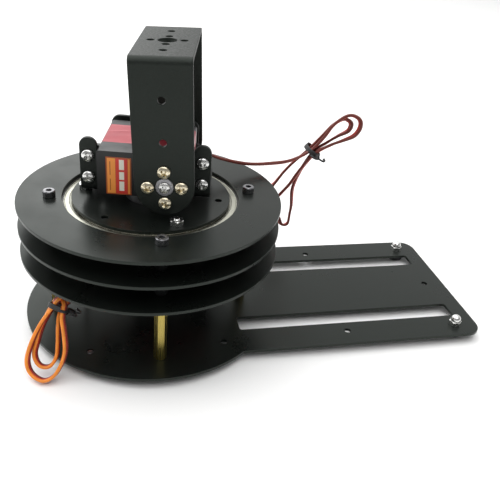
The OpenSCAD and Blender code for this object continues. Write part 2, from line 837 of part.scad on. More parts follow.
// ---- Tilt bracket and servo ----
// An L of sheet with a round outer bend: it lies along +X and rises along +Y
module bend_profile(run, rise) {
    translate([bend_r, 0]) square([run - bend_r, bracket_t]);
    translate([0, bend_r]) square([bracket_t, rise - bend_r]);
    translate([bend_r, bend_r]) intersection() {
        difference() {
            circle(bend_r);
            circle(bend_r - bracket_t);
        }
        translate([-bend_r, -bend_r]) square(bend_r);
    }
}

// A wall of sheet that stands up from the bracket's floor, with round top corners
module standing_wall(width, height, run) {
    corner = 4;
    intersection() {
        rotate([90, 0, 90]) linear_extrude(width) bend_profile(run, height);
        translate([0, -cut, 0]) rotate([90, 0, 0]) mirror([0, 0, 1]) linear_extrude(run + 2 * cut) {
            square([width, height - corner]);
            translate([corner, 0]) square([width - 2 * corner, height]);
            for (x = [corner, width - corner]) translate([x, height - corner]) circle(corner);
        }
    }
}

module servo_bracket() {
    floor_y = ear_y + 6;
    rear_y = rear_wall_y + bracket_t;
    color("#222326") on_turntable() difference() {
        union() {
            translate([bracket_x[0], floor_y, bracket_z])
                cube([bracket_x[1] - bracket_x[0], rear_y - 6 - floor_y, bracket_t]);
            for (x = [bracket_x[0], bracket_x[1] - ear_w]) translate([x, ear_y, bracket_z])
                standing_wall(ear_w, ear_top - bracket_z, 6);
            translate([body_x[1] + body_gap, rear_y, bracket_z]) rotate([0, 0, 180])
                standing_wall(body_x[1] - body_x[0] + 2 * body_gap, rear_wall_top - bracket_z, 6);
        }
        translate([0, 0, bracket_z - cut]) cylinder(r = hub_bore_r, h = bracket_t + 2 * cut);
        ring_of([45, 135, 225, 315], horn_screw_r) {
            translate([0, 0, bracket_z - cut]) cylinder(r = m3_hole_r, h = bracket_t + 2 * cut);
            translate([0, 0, bracket_z + bracket_t]) countersink();
        }
        at_tilt_servo() servo_screw_places() cylinder(r = m3_hole_r, h = 2 * lug_t + bracket_t);
        translate([tilt_x, rear_y + cut, tilt_z]) rotate([90, 0, 0])
            cylinder(r = m3_hole_r, h = bracket_t + 2 * cut);
    }
}

module tilt_servo_bottom_case() {
    color("#18191b") on_turntable() at_tilt_servo() servo_bottom_case();
}

module tilt_servo_middle_case() {
    color("#7d1f26") on_turntable() at_tilt_servo() servo_middle_case();
}

module tilt_servo_top_case() {
    color("#18191b") on_turntable() at_tilt_servo() servo_top_case();
}

module tilt_servo_motor() {
    color("silver") on_turntable() at_tilt_servo() servo_motor();
}

module tilt_servo_board() {
    color("darkgreen") on_turntable() at_tilt_servo() servo_board();
}

module tilt_servo_case_screws() {
    color("silver") on_turntable() at_tilt_servo() servo_case_screws();
}

module tilt_servo_screws() {
    color("silver") on_turntable() at_tilt_servo() servo_screws(lug_t + bracket_t, lug_t + bracket_t);
}

module idler_screw() {
    head_y = rear_wall_y;
    nut_y = arm_rear_y + idler_w + 0.2;
    color("silver") on_turntable() translate([tilt_x, 0, tilt_z]) {
        translate([0, head_y, 0]) rotate([90, 0, 0])
            pan_screw(nut_y + m3_nut_h + 1 - head_y);
        translate([0, nut_y + m3_nut_h, 0]) rotate([90, 0, 0]) nut();
        translate([0, rear_wall_y + bracket_t + 0.4, 0]) rotate([90, 0, 0]) tube(3, m3_tap_r, 0.4);
    }
}

module tilt_lead_grommet() {
    color("#151515") on_turntable() at_tilt_servo() lead_grommet();
}

module tilt_lead() {
    color("#a8431f") on_turntable() swept_tube(tilt_route);
}

module tilt_lead_plug() {
    color("#151515") on_turntable() translate(tilt_route[len(tilt_route) - 1]) rotate([0, 90, 0]) lead_plug();
}

module tilt_lead_tie() {
    color("#151515") on_turntable() translate(tilt_tie_at) rotate([0, 35, 0])
        lead_tie(tilt_tie_opening);
}

module tilt_pinion() {
    color("goldenrod") on_turntable() at_tilt_servo() motor_pinion();
}

module tilt_gear_1() {
    color("goldenrod") on_turntable() at_tilt_servo() gear_1();
}

module tilt_gear_2() {
    color("goldenrod") on_turntable() at_tilt_servo() gear_2();
}

module tilt_gear_3() {
    color("goldenrod") on_turntable() at_tilt_servo() gear_3();
}

// ---- U bracket ----
module arm_outline() {
    circle(arm_r);
    translate([-arm_r, 0]) square([arm_w, u_rise - bend_r]);
}

module u_profile() {
    depth = arm_rear_y + bracket_t - arm_front_y;
    bend_profile(depth / 2, u_rise);
    translate([depth, 0]) mirror([1, 0]) bend_profile(depth / 2, u_rise);
}

module u_bracket() {
    depth = arm_rear_y + bracket_t - arm_front_y;
    color("#3a3b3d") on_tilt() difference() {
        union() {
            for (y = [arm_front_y, arm_rear_y])
                translate([tilt_x, y + bracket_t, tilt_z]) rotate([90, 0, 0]) linear_extrude(bracket_t)
                    arm_outline();
            translate([tilt_x - arm_r, arm_front_y, u_top_z]) mirror([0, 0, 1]) rotate([90, 0, 90])
                linear_extrude(arm_w) intersection() {
                    u_profile();
                    square([depth, bend_r]);
                }
        }
        for (y = [arm_front_y, arm_rear_y]) translate([tilt_x, y - cut, tilt_z]) rotate([-90, 0, 0]) {
            cylinder(r = idler_r, h = bracket_t + 2 * cut);
            ring_of([0, 90, 180, 270], horn_screw_r) cylinder(r = m3_hole_r, h = bracket_t + 2 * cut);
            for (h = arm_holes) translate([0, -h, 0]) cylinder(r = m3_hole_r, h = bracket_t + 2 * cut);
        }
        translate([tilt_x, u_mid_y, u_top_z - bracket_t - cut]) {
            cylinder(r = idler_r, h = bracket_t + 2 * cut);
            ring_of([0, 90, 180, 270], horn_screw_r) cylinder(r = m3_hole_r, h = bracket_t + 2 * cut);
            for (side = [-1, 1]) translate([0, side * camera_hole_y, 0])
                cylinder(r = m3_hole_r, h = bracket_t + 2 * cut);
        }
    }
}

module tilt_horn() {
    color("#2c2d30") on_tilt() at_tilt_servo() servo_horn();
}

module tilt_output_shaft() {
    color("goldenrod") on_turntable() at_tilt_servo() output_shaft();
}

module tilt_horn_screws() {
    color("#c9a94f") on_tilt() at_tilt_servo() {
        ring_of([0, 90, 180, 270], horn_screw_r) translate([0, 0, horn_top + bracket_t])
            pan_screw(bracket_t + horn_disc_h - 0.2);
        horn_centre_screw();
    }
}

module idler_bearing() {
    color("gainsboro") on_tilt() translate([tilt_x, arm_rear_y, tilt_z]) rotate([-90, 0, 0]) difference() {
        union() {
            cylinder(r = idler_r, h = idler_w);
            translate([0, 0, -idler_flange]) cylinder(r = idler_r + 0.6, h = idler_flange);
        }
        translate([0, 0, -idler_flange - cut])
            cylinder(r = m3_r + 0.05, h = idler_w + idler_flange + 2 * cut);
    }
}

base_plate();
rubber_feet();
base_screws();
foot_cap_nuts();
brass_standoffs();
servo_plate();
lower_spacers();
bearing_plate();
upper_spacers();
top_ring();
stack_screws();
bearing_outer_race();
bearing_shields();
pan_servo_bottom_case();
pan_servo_middle_case();
pan_servo_top_case();
pan_servo_motor();
pan_servo_board();
pan_servo_case_screws();
pan_servo_screws();
pan_lead_grommet();
pan_lead();
pan_lead_plug();
pan_lead_tie();
pan_pinion();
pan_gear_1();
pan_gear_2();
pan_gear_3();
bearing_cage();
bearing_balls();
bearing_inner_race();
pan_disc();
clamp_disc();
clamp_fasteners();
hub_spacers();
pan_horn();
pan_output_shaft();
pan_horn_screws();
servo_bracket();
tilt_servo_bottom_case();
tilt_servo_middle_case();
tilt_servo_top_case();
tilt_servo_motor();
tilt_servo_board();
tilt_servo_case_screws();
tilt_servo_screws();
idler_screw();
tilt_lead_grommet();
tilt_lead();
tilt_lead_plug();
tilt_lead_tie();
tilt_pinion();
tilt_gear_1();
tilt_gear_2();
tilt_gear_3();
u_bracket();
tilt_horn();
tilt_output_shaft();
tilt_horn_screws();
idler_bearing();
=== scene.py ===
import math

import bmesh
import bpy
from mathutils import Matrix, Vector


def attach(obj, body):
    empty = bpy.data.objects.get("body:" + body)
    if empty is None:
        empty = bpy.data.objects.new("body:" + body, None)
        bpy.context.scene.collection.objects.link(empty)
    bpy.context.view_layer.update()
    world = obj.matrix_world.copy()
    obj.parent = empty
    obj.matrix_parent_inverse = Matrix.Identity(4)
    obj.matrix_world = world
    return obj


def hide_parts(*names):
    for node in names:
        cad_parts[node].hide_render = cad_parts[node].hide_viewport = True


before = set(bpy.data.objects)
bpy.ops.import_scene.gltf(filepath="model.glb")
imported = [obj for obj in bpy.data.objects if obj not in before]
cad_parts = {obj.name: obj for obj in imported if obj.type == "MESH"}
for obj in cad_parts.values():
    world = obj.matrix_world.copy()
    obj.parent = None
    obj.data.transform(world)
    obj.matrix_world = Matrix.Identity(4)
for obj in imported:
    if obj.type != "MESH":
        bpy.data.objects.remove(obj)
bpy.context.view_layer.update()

# Sizes in millimetres, as in the CAD source. Each piece is made in millimetres
# in a frame of its own, and piece() puts it in the model's frame, in metres.
MM = 0.001
PAN_X = -51.5
PAN_REST, TILT_REST = -12.1, -2.8
TILT_X, TILT_Z = 8.3, 80.5
U_TOP_Z = 134
DECK_R = 60.0
SHEET = 1.5
BASE_Z = 4.0
STANDOFF_H, LOWER_SPACER_H, BEARING_H = 33.5, 11.0, 10.0
UPPER_HUB_H, LOWER_HUB_H = 4.0, 3.5
BASE_TOP = BASE_Z + SHEET
SERVO_DECK_Z = BASE_TOP + STANDOFF_H
SERVO_DECK_TOP = SERVO_DECK_Z + SHEET
BEARING_DECK_Z = SERVO_DECK_TOP + LOWER_SPACER_H
BEARING_Z = BEARING_DECK_Z + SHEET
TOP_RING_Z = BEARING_Z + BEARING_H
TURNTABLE_TOP = TOP_RING_Z + SHEET
BRACKET_Z = TURNTABLE_TOP + UPPER_HUB_H
POST_R, POST_ACROSS = 45.5, 5
POST_ANGLES = (0, 90, 180, 270)
DISC_R, CLAMP_DISC_R, CLAMP_DISC_BORE = 36, 35, 26
CLAMP_R, CLAMP_HOLE = 30.8, 2.85
CLAMP_TURN = -3.3
CLAMP_ANGLES = [a + CLAMP_TURN for a in (60, 180, 300)]
DISC_ANGLES = [a + CLAMP_TURN for a in range(0, 360, 60)]
HORN_SCREW_R = 7
HORN_ANGLES = (0, 90, 180, 270)
HUB_ANGLES = (45, 135, 225, 315)
HUB_R, HUB_BORE = 12, 4.1
M3_R, M3_HOLE, M3_HEAD, M3_HEAD_H = 1.45, 1.6, 2.75, 1.8
M3_NUT_ACROSS, M3_NUT_H = 5.5, 2.4


def turn(degrees, axis):
    return Matrix.Rotation(math.radians(degrees), 4, axis)


def shift(x, y, z):
    return Matrix.Translation((x, y, z))


def leaning(spot, along, axis):
    """A frame at the spot with its X axis along one direction and its Z axis on the other."""
    x, z = Vector(along).normalized(), Vector(axis).normalized()
    return shift(*spot) @ Matrix((x, z.cross(x), z)).transposed().to_4x4()


BASE = shift(PAN_X, 0, 0)
TABLE = BASE @ turn(PAN_REST, "Z")
TILT_PIVOT = TABLE @ shift(TILT_X, 0, TILT_Z)
TILT = TILT_PIVOT @ turn(TILT_REST, "Y") @ shift(-TILT_X, 0, -TILT_Z)
LIE_DOWN = shift(TILT_X, -5, TILT_Z) @ turn(180, "Y") @ turn(90, "X")
PAN_SERVO = BASE @ shift(0, 0, SERVO_DECK_TOP)
TILT_SERVO = TABLE @ LIE_DOWN
TILT_HORN = TILT @ LIE_DOWN
SERVOS = (("pan", PAN_SERVO, "base"), ("tilt", TILT_SERVO, "turntable"))


# ---- Camera: where the photograph was taken from ----
def make_camera():
    yaw, pitch, roll = (math.radians(a) for a in (15.195, 30.385, 5.483))
    ahead = Vector((math.sin(yaw) * math.cos(pitch), math.cos(yaw) * math.cos(pitch), -math.sin(pitch)))
    level = Vector((math.cos(yaw), -math.sin(yaw), 0))
    above = level.cross(ahead)
    right = math.cos(roll) * level + math.sin(roll) * above
    up = right.cross(ahead)
    data = bpy.data.cameras.new("camera")
    data.sensor_width = 36
    data.lens = 46.455
    data.clip_start = 0.01
    data.clip_end = 20
    camera = bpy.data.objects.new("camera", data)
    spot = Vector((-75.87, -271.12, 196.77)) * MM
    camera.matrix_world = Matrix.Translation(spot) @ Matrix((right, up, -ahead)).transposed().to_4x4()
    bpy.context.scene.collection.objects.link(camera)
    bpy.context.scene.camera = camera


make_camera()


# ---- Materials ----
class Look:
    """A Principled material whose colour, roughness and bump are made of noise in object space."""

    def __init__(self, name, colour, metallic=0.0, roughness=0.5, **sockets):
        self.material = bpy.data.materials.new(name)
        self.material.use_nodes = True
        self.tree = self.material.node_tree
        self.shader = self.tree.nodes["Principled BSDF"]
        self.colour = colour
        self.shader.inputs["Base Color"].default_value = (*colour, 1)
        self.shader.inputs["Metallic"].default_value = metallic
        self.shader.inputs["Roughness"].default_value = roughness
        for socket, value in sockets.items():
            self.shader.inputs[socket.replace("_", " ")].default_value = value
        self.place = self.tree.nodes.new("ShaderNodeTexCoord").outputs["Object"]
        self.bump = None

    def node(self, kind, **values):
        made = self.tree.nodes.new(kind)
        for socket, value in values.items():
            made.inputs[socket.replace("_", " ")].default_value = value
        return made

    def link(self, source, target):
        self.tree.links.new(source, target)

    def stretched(self, scale):
        mapping = self.node("ShaderNodeMapping", Scale=scale)
        self.link(self.place, mapping.inputs["Vector"])
        return mapping.outputs["Vector"]

    def noise(self, per_metre, detail=3.0, rough=0.55, stretch=None):
        made = self.node("ShaderNodeTexNoise", Scale=per_metre, Detail=detail, Roughness=rough)
        self.link(self.stretched(stretch) if stretch else self.place, made.inputs["Vector"])
        return made.outputs["Fac"]

    def ramp(self, source, low, high, start=0.3, end=0.7):
        made = self.node("ShaderNodeMapRange", From_Min=start, From_Max=end, To_Min=low, To_Max=high)
        self.link(source, made.inputs["Value"])
        return made.outputs["Result"]

    def mix(self, share, first, second):
        made = self.node("ShaderNodeMix")
        made.data_type = "RGBA"
        self.link(share, made.inputs["Factor"])
        for socket, value in (("A", first), ("B", second)):
            target = [i for i in made.inputs if i.name == socket and i.type == "RGBA"][0]
            if isinstance(value, tuple):
                target.default_value = (*value, 1)
            else:
                self.link(value, target)
        return [o for o in made.outputs if o.type == "RGBA"][0]

    def vary(self, share, other):
        """Blends the base colour towards another by a mask."""
        socket = self.shader.inputs["Base Color"]
        first = socket.links[0].from_socket if socket.links else self.colour
        self.link(self.mix(share, first, other), socket)

    def rough(self, source, low, high):
        self.link(self.ramp(source, low, high), self.shader.inputs["Roughness"])

    def relief(self, source, strength, depth):
        """Adds a bump of this depth in metres on top of the bumps so far."""
        made = self.node("ShaderNodeBump", Strength=strength, Distance=depth)
        self.link(source, made.inputs["Height"])
        if self.bump:
            self.link(self.bump, made.inputs["Normal"])
        self.bump = made.outputs["Normal"]
        self.link(self.bump, self.shader.inputs["Normal"])


SATIN_TINT = (0.88, 1.0, 0.9, 1)


def anodised(name, colour, roughness=0.3):
    """Black anodised sheet: satin, with a fine tooth and faint smears."""
    look = Look(name, colour, 0.0, roughness, IOR=1.38, Specular_Tint=SATIN_TINT)
    smear = look.noise(45, 4, 0.6)
    tooth = look.noise(900, 2, 0.5)
    look.vary(look.ramp(smear, 0, 0.5), tuple(c * 1.3 + 0.001 for c in colour))
    look.rough(smear, roughness - 0.05, roughness + 0.09)
    look.relief(tooth, 0.04, 0.00001)
    return look.material


def powder_coat(name, colour, roughness):
    """Black coat with a fine grain that is raised, paler and a little rougher."""
    look = Look(name, colour, 0.0, roughness, IOR=1.38, Specular_Tint=SATIN_TINT)
    grain = look.noise(1100, 3, 0.65)
    patch = look.noise(60, 3, 0.5)
    look.vary(look.ramp(grain, 0, 0.75, 0.35, 0.7), tuple(c * 1.9 + 0.002 for c in colour))
    look.vary(look.ramp(patch, 0, 0.25), tuple(c * 0.6 for c in colour))
    look.rough(grain, roughness - 0.08, roughness + 0.1)
    look.relief(grain, 0.8, 0.0001)
    return look.material


def metal(name, colour, roughness, tint=None, streak=(1, 1, 1), grain=1800.0):
    """Bare or plated metal. A streak below 1 draws its tool marks out along that axis."""
    look = Look(name, colour, 1.0, roughness)
    marks = look.noise(grain, 3, 0.6, streak)
    stain = look.noise(220, 4, 0.6)
    look.vary(look.ramp(stain, 0, 0.6), tint or tuple(c * 0.72 for c in colour))
    look.rough(marks, max(0.05, roughness - 0.08), roughness + 0.12)
    look.relief(marks, 0.2, 0.00001)
    return look.material


def moulded(name, colour, roughness, haze=(0.1, 0.1, 0.1)):
    """Plastic or rubber: spark-eroded texture under a faint haze."""
    look = Look(name, colour, 0.0, roughness, IOR=1.48)
    spark = look.noise(1500, 2, 0.5)
    cloud = look.noise(120, 3, 0.5)
    look.vary(look.ramp(cloud, 0, 0.2), haze)
    look.rough(cloud, roughness - 0.07, roughness + 0.1)
    look.relief(spark, 0.25, 0.00003)
    return look.material


def red_anodised(name):
    """The servos' middle case: red anodised and brushed along its length."""
    look = Look(name, (0.32, 0.028, 0.04), 0.75, 0.32)
    marks = look.noise(900, 3, 0.6, (0.04, 1, 1))
    cloud = look.noise(70, 3, 0.5)
    look.vary(look.ramp(cloud, 0, 0.6), (0.2, 0.012, 0.025))
    look.rough(marks, 0.26, 0.42)
    look.relief(marks, 0.25, 0.00001)
    return look.material


def insulation(name, colour):
    """Soft wire covering, slightly translucent, with darker handled stretches."""
    look = Look(name, colour, 0.0, 0.38, IOR=1.46, Subsurface_Weight=0.05, Subsurface_Scale=0.0006)
    handled = look.noise(260, 3, 0.5)
    look.vary(look.ramp(handled, 0, 0.45), tuple(c * 0.6 for c in colour))
    look.rough(handled, 0.3, 0.5)
    look.relief(look.noise(1500, 2, 0.5), 0.15, 0.00004)
    return look.material


LOOKS = {
    "deck": anodised("black_anodised_deck", (0.0058, 0.0072, 0.0062)),
    "spacer": anodised("black_spacer", (0.012, 0.012, 0.013), 0.35),
    "hub": metal("turned_grey", (0.32, 0.32, 0.33), 0.38),
    "bracket": powder_coat("bracket_black", (0.006, 0.0066, 0.0063), 0.42),
    "u_bracket": powder_coat("bracket_grained", (0.0045, 0.0055, 0.0048), 0.46),
    "rubber": moulded("rubber_black", (0.011, 0.011, 0.012), 0.7, (0.05, 0.05, 0.05)),
    "brass": metal("brass_turned", (0.48, 0.38, 0.11), 0.26, (0.38, 0.29, 0.08), (1, 1, 0.02)),
    "race": metal("bearing_steel", (0.62, 0.6, 0.55), 0.25, (0.5, 0.48, 0.43), grain=500.0),
    "shield": metal("shield_steel", (0.56, 0.56, 0.48), 0.34, (0.5, 0.5, 0.42), grain=500.0),
    # a darker copy of the shield steel: painted shade for the shields' inner band, where the turntable's
    # disc shades the gap
    "shield_painted_shade": metal("shield_painted_shade", (0.34, 0.34, 0.29), 0.36, (0.3, 0.3, 0.25), grain=500.0),
    "blued": metal("blued_steel", (0.09, 0.09, 0.085), 0.34, (0.06, 0.06, 0.058), grain=500.0),
    "cage": metal("cage_brass", (0.6, 0.45, 0.2), 0.35),
    "ball": metal("ball_chrome", (0.75, 0.75, 0.76), 0.06),
    "dark_steel": metal("zinc_dark", (0.3, 0.3, 0.31), 0.3, (0.16, 0.16, 0.17)),
    "gold_screw": metal("yellow_zinc", (0.8, 0.73, 0.56), 0.24, (0.6, 0.52, 0.36)),
    "nickel": metal("nickel_plate", (0.82, 0.82, 0.8), 0.22, (0.6, 0.6, 0.59)),
    "servo": moulded("servo_plastic", (0.006, 0.0065, 0.0065), 0.4, (0.014, 0.015, 0.015)),
    "servo_red": red_anodised("servo_red_anodised"),
    "motor": metal("motor_can", (0.6, 0.6, 0.6), 0.3),
    "board": moulded("circuit_board", (0.012, 0.13, 0.045), 0.35, (0.02, 0.2, 0.08)),
    "horn": anodised("horn_black", (0.012, 0.012, 0.013), 0.33),
    "gear": metal("gear_brass", (0.7, 0.55, 0.27), 0.28),
    "wire_orange": insulation("wire_orange", (0.95, 0.3, 0.035)),
    # the tilt lead's signal wire: the same orange insulation made darker and redder, as painted shade
    "wire_scarlet": insulation("wire_scarlet", (0.62, 0.075, 0.025)),
    "wire_red": insulation("wire_red", (0.5, 0.03, 0.025)),
    "wire_brown": insulation("wire_brown", (0.17, 0.03, 0.02)),
    "label_edge": moulded("label_edge", (0.4, 0.08, 0.015), 0.4, (0.34, 0.07, 0.015)),
    "label_orange": moulded("label_orange", (0.92, 0.34, 0.06), 0.4, (0.85, 0.3, 0.05)),
    "label_red": moulded("label_red", (0.7, 0.045, 0.03), 0.4, (0.62, 0.04, 0.03)),
    "label_print": moulded("label_print", (0.92, 0.88, 0.78), 0.5, (0.85, 0.8, 0.68)),
    "plug": moulded("plug_black", (0.012, 0.012, 0.013), 0.5),
    "tie": moulded("tie_black", (0.01, 0.01, 0.011), 0.5),
    "contact": metal("contact_tin", (0.7, 0.68, 0.6), 0.25),
}


# ---- Mesh tools ----
def arc(cx, cy, r, start, end, steps):
    return [(cx + r * math.cos(math.radians(start + (end - start) * i / steps)),
             cy + r * math.sin(math.radians(start + (end - start) * i / steps))) for i in range(steps + 1)]


def circle(cx, cy, r, steps=40):
    return arc(cx, cy, r, 0, 360, steps)[:-1]


def on_circle(angles, r):
    return [(r * math.cos(math.radians(a)), r * math.sin(math.radians(a))) for a in angles]


def round_rect(x0, y0, x1, y1, r, steps=8):
    return (arc(x1 - r, y1 - r, r, 0, 90, steps) + arc(x0 + r, y1 - r, r, 90, 180, steps)
            + arc(x0 + r, y0 + r, r, 180, 270, steps) + arc(x1 - r, y0 + r, r, 270, 360, steps))


def outward(bm):
    bmesh.ops.recalc_face_normals(bm, faces=bm.faces[:])
    return bm


def soften(bm, width, segments=2, degrees=40):
    """Breaks the edges that are sharper than the angle."""
    edges = [e for e in bm.edges if len(e.link_faces) == 2 and e.calc_face_angle(0) > math.radians(degrees)]
    if width and edges:
        bmesh.ops.bevel(bm, geom=edges, offset=width, segments=segments, profile=0.5,
                        affect="EDGES", clamp_overlap=False)
    return bm


# The fill goes wrong where points share a height, so an outline is turned askew for it and back
ASKEW = turn(17, "Z")


def blank(loops, thickness, z=0.0, edge=0.18, segments=2):
    """A sheet cut to the first loop with the others as holes, from z up, with broken edges."""
    bm = bmesh.new()
    for loop in loops:
        ring = [bm.verts.new((x, y, z)) for x, y in loop]
        for i, vert in enumerate(ring):
            bm.edges.new((vert, ring[(i + 1) % len(ring)]))
    bmesh.ops.transform(bm, matrix=ASKEW, verts=bm.verts[:])
    bmesh.ops.triangle_fill(bm, use_beauty=True, use_dissolve=False, edges=bm.edges[:])
    bmesh.ops.transform(bm, matrix=ASKEW.inverted(), verts=bm.verts[:])
    made = bmesh.ops.extrude_face_region(bm, geom=bm.faces[:])
    for vert in (v for v in made["geom"] if isinstance(v, bmesh.types.BMVert)):
        vert.co.z += thickness
    return soften(outward(bm), edge, segments)


def skin(bm, rings):
    """Walls between rings of equally many points, and a cap on the first and the last."""
    for low, high in zip(rings, rings[1:]):
        for k in range(len(low)):
            n = (k + 1) % len(low)
            bm.faces.new((low[k], low[n], high[n], high[k]))
    bm.faces.new(list(reversed(rings[0])))
    bm.faces.new(rings[-1])


def lathe(profile, segments=48, closed=False):
    """Turns (radius, height) points about Z. A closed profile makes a ring; an open one starts and ends on
    the axis."""
    bm = bmesh.new()
    rings = []
    for r, z in profile:
        if r < 1e-6:
            rings.append([bm.verts.new((0, 0, z))])
        else:
            rings.append([bm.verts.new((r * math.cos(2 * math.pi * k / segments),
                                        r * math.sin(2 * math.pi * k / segments), z))
                          for k in range(segments)])
    pairs = list(zip(rings, rings[1:] + rings[:1]))
    for low, high in pairs if closed else pairs[:-1]:
        for k in range(segments):
            n = (k + 1) % segments
            corners = [low[k % len(low)], low[n % len(low)], high[n % len(high)], high[k % len(high)]]
            corners = [v for i, v in enumerate(corners) if v not in corners[:i]]
            if len(corners) > 2:
                bm.faces.new(corners)
    return outward(bm)


def boxed(size, centre=(0, 0, 0), edge=0.15, segments=2):
    bm = bmesh.new()
    bmesh.ops.create_cube(bm, size=1, matrix=Matrix.Translation(centre) @ Matrix.Diagonal((*size, 1)))
    return soften(bm, edge, segments)


def prism(sides, across_flats, height, z=0.0, turned=30.0):
    bm = bmesh.new()
    r = across_flats / 2 / math.cos(math.pi / sides)
    ring = on_circle([turned + i * 360 / sides for i in range(sides)], r)
    skin(bm, [[bm.verts.new((x, y, level)) for x, y in ring] for level in (z, z + height)])
    return bm


def to_mesh(bm, name="part"):
    mesh = bpy.data.meshes.new(name)
    bm.to_mesh(mesh)
    bm.free()
    return mesh


def carve(bm, *cutters, mode="DIFFERENCE"):
    """An exact boolean of one mesh with others, all in the same frame."""
    target = bpy.data.objects.new("carve_target", to_mesh(bm))
    bpy.context.scene.collection.objects.link(target)
    tools = []
    for cutter in cutters:
        tool = bpy.data.objects.new("carve_tool", to_mesh(cutter))
        bpy.context.scene.collection.objects.link(tool)
        step = target.modifiers.new("cut", "BOOLEAN")
        step.operation = mode
        step.solver = "EXACT"
        step.object = tool
        tools.append(tool)
    bpy.context.view_layer.update()
    result = bmesh.new()
    result.from_mesh(target.evaluated_get(bpy.context.evaluated_depsgraph_get()).to_mesh())
    for item in (target, *tools):
        mesh = item.data
        bpy.data.objects.remove(item)
        bpy.data.meshes.remove(mesh)
    bmesh.ops.remove_doubles(result, verts=result.verts[:], dist=1e-4)
    return result


def moved(bm, matrix):
    made = bm.copy()
    bmesh.ops.transform(made, matrix=matrix, verts=made.verts[:])
    return made


def joined(*meshes):
    """Several bmeshes as one, each face with the material slot it had. The parts are used up."""
    made = bmesh.new()
    for bm in meshes:
        mesh = to_mesh(bm)
        made.from_mesh(mesh)
        bpy.data.meshes.remove(mesh)
    return made


def paint(bm, index):
    """Gives all faces one of the piece's material slots."""
    for face in bm.faces:
        face.material_index = index
    return bm


def repeated(bm, matrices):
    made = joined(*(moved(bm, m) for m in matrices))
    bm.free()
    return made


def piece(name, bm, place, looks, body, nodes=()):
    """Finishes a mesh made in millimetres: puts it in the model's frame and on its body."""
    mesh = to_mesh(bm, name)
    mesh.transform(place)
    mesh.transform(Matrix.Scale(MM, 4))
    obj = bpy.data.objects.new(name, mesh)
    bpy.context.scene.collection.objects.link(obj)
    for look in ([looks] if isinstance(looks, str) else looks):
        mesh.materials.append(LOOKS[look])
    mesh.polygons.foreach_set("use_smooth", [True] * len(mesh.polygons))
    mesh.set_sharp_from_angle(angle=math.radians(35))
    weighted = obj.modifiers.new("even_normals", "WEIGHTED_NORMAL")
    weighted.keep_sharp = True
    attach(obj, body)
    if nodes:
        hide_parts(*nodes)
    return obj


def dress(node, look, edge=0.0):
    """A CAD node that stays: its material, welded and with its edges broken."""
    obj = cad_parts[node]
    obj.data.materials.clear()
    obj.data.materials.append(LOOKS[look])
    if edge:
        weld = obj.modifiers.new("weld", "WELD")
        weld.merge_threshold = 0.000002
        bevel = obj.modifiers.new("edges", "BEVEL")
        bevel.width = edge * MM
        bevel.segments = 2
        bevel.limit_method = "ANGLE"
        bevel.angle_limit = math.radians(40)
        bevel.use_clamp_overlap = True
        bevel.harden_normals = False
        weighted = obj.modifiers.new("even_normals", "WEIGHTED_NORMAL")
        weighted.keep_sharp = True
    return obj


# Servo leads: the routes of part.scad with their tightest turns opened. The servo's end comes first and the
# plug last.
PAN_ROUTE = [
    (-11.5, 0, 15.5), (-15, 0, 15.5), (-22, -5, 18), (-28, -14, 23), (-33, -22, 28), (-38, -30, 33),
    (-42.5, -36, 34), (-45.5, -37.5, 30), (-50.5, -39.5, 23), (-54.5, -42.5, 15.5), (-56.5, -45, 8.5),
    (-55, -48, 4), (-50.5, -50.5, 1.7), (-46, -50, 3), (-42.5, -48, 7.5), (-40.5, -46, 13.5),
    (-40.5, -43.5, 21), (-41, -41, 27), (-40, -37.5, 31), (-41.2, -34.3, 31.9), (-43.5, -32.8, 30.2),
    (-46, -34, 27), (-49.5, -37, 21.5), (-52, -39.5, 15), (-53.5, -42.5, 9.5), (-51.5, -45.5, 6),
    (-47.5, -46, 5.5), (-44.5, -44, 9), (-43.5, -41.5, 15), (-43, -39, 21), (-42, -36.5, 26.5),
    (-38.5, -32.5, 29.5), (-35, -26.5, 27), (-33.5, -19, 22.5), (-33.5, -10, 17.5), (-33, 1, 13),
    (-31, 11, 10.5), (-26, 21, 8.5), (-20, 28, 7.5), (-14, 31, 7), (-10, 31, 7)]
TILT_ROUTE = [
    (19.8, 20, 80.5), (22.5, 21, 79.5), (27, 24, 75.5), (35, 27, 72.5), (45, 32, 69.5),
    (55.5, 37, 68.5), (66.5, 43, 68.5), (76.8, 49, 72.3), (83, 50, 79.5), (87, 50, 86.5),
    (91.5, 49, 91.5), (95.5, 48, 93.5), (99.5, 47, 92), (100.5, 47, 88), (98.5, 48, 83),
    (93.5, 49, 79.5), (87, 49.5, 76), (79.2, 49, 70.7), (73, 51, 60), (69, 52.5, 51.5), (65.2, 54, 45),
    (62.9, 54.5, 41.8), (60.4, 55, 40.8), (58.2, 55.4, 42.4), (58.4, 55.5, 46), (61, 55.5, 50),
    (67, 54.5, 60), (76.8, 52.4, 72.3), (83, 53, 80), (87.5, 53, 86), (92, 52.5, 89.5),
    (94.8, 52.1, 89.4), (96.6, 52, 87.4), (95.6, 52, 83.8), (91, 52.5, 80.5), (85.5, 53, 76),
    (79.2, 52.5, 70.7), (74, 54.5, 59), (71, 56.5, 47), (71.5, 57, 36), (71.3, 57.8, 30),
    (71.1, 58, 25.2), (70.4, 58, 23.3), (68.6, 58, 22.4), (66.8, 58, 23.2), (66.1, 58, 25),
    (65.4, 58, 27), (63.6, 58, 27.9), (61.8, 58, 27.2), (61.1, 58, 25.3), (61, 58, 22.6), (61, 58, 20)]
WIRE_D = 1.45
WIRE_GAP = 1.3
DRAW_RATE = 0.06
FAN_OUT = 10
PAN_WIRES = ("wire_orange", "wire_red", "wire_brown")
# the tilt lead's signal wire is the orange one darkened and reddened as painted shade
TILT_WIRES = ("wire_scarlet", "wire_red", "wire_brown")
PLUG_SIZE = (14, 7.6, 2.6)
PIN_PITCH = 2.54


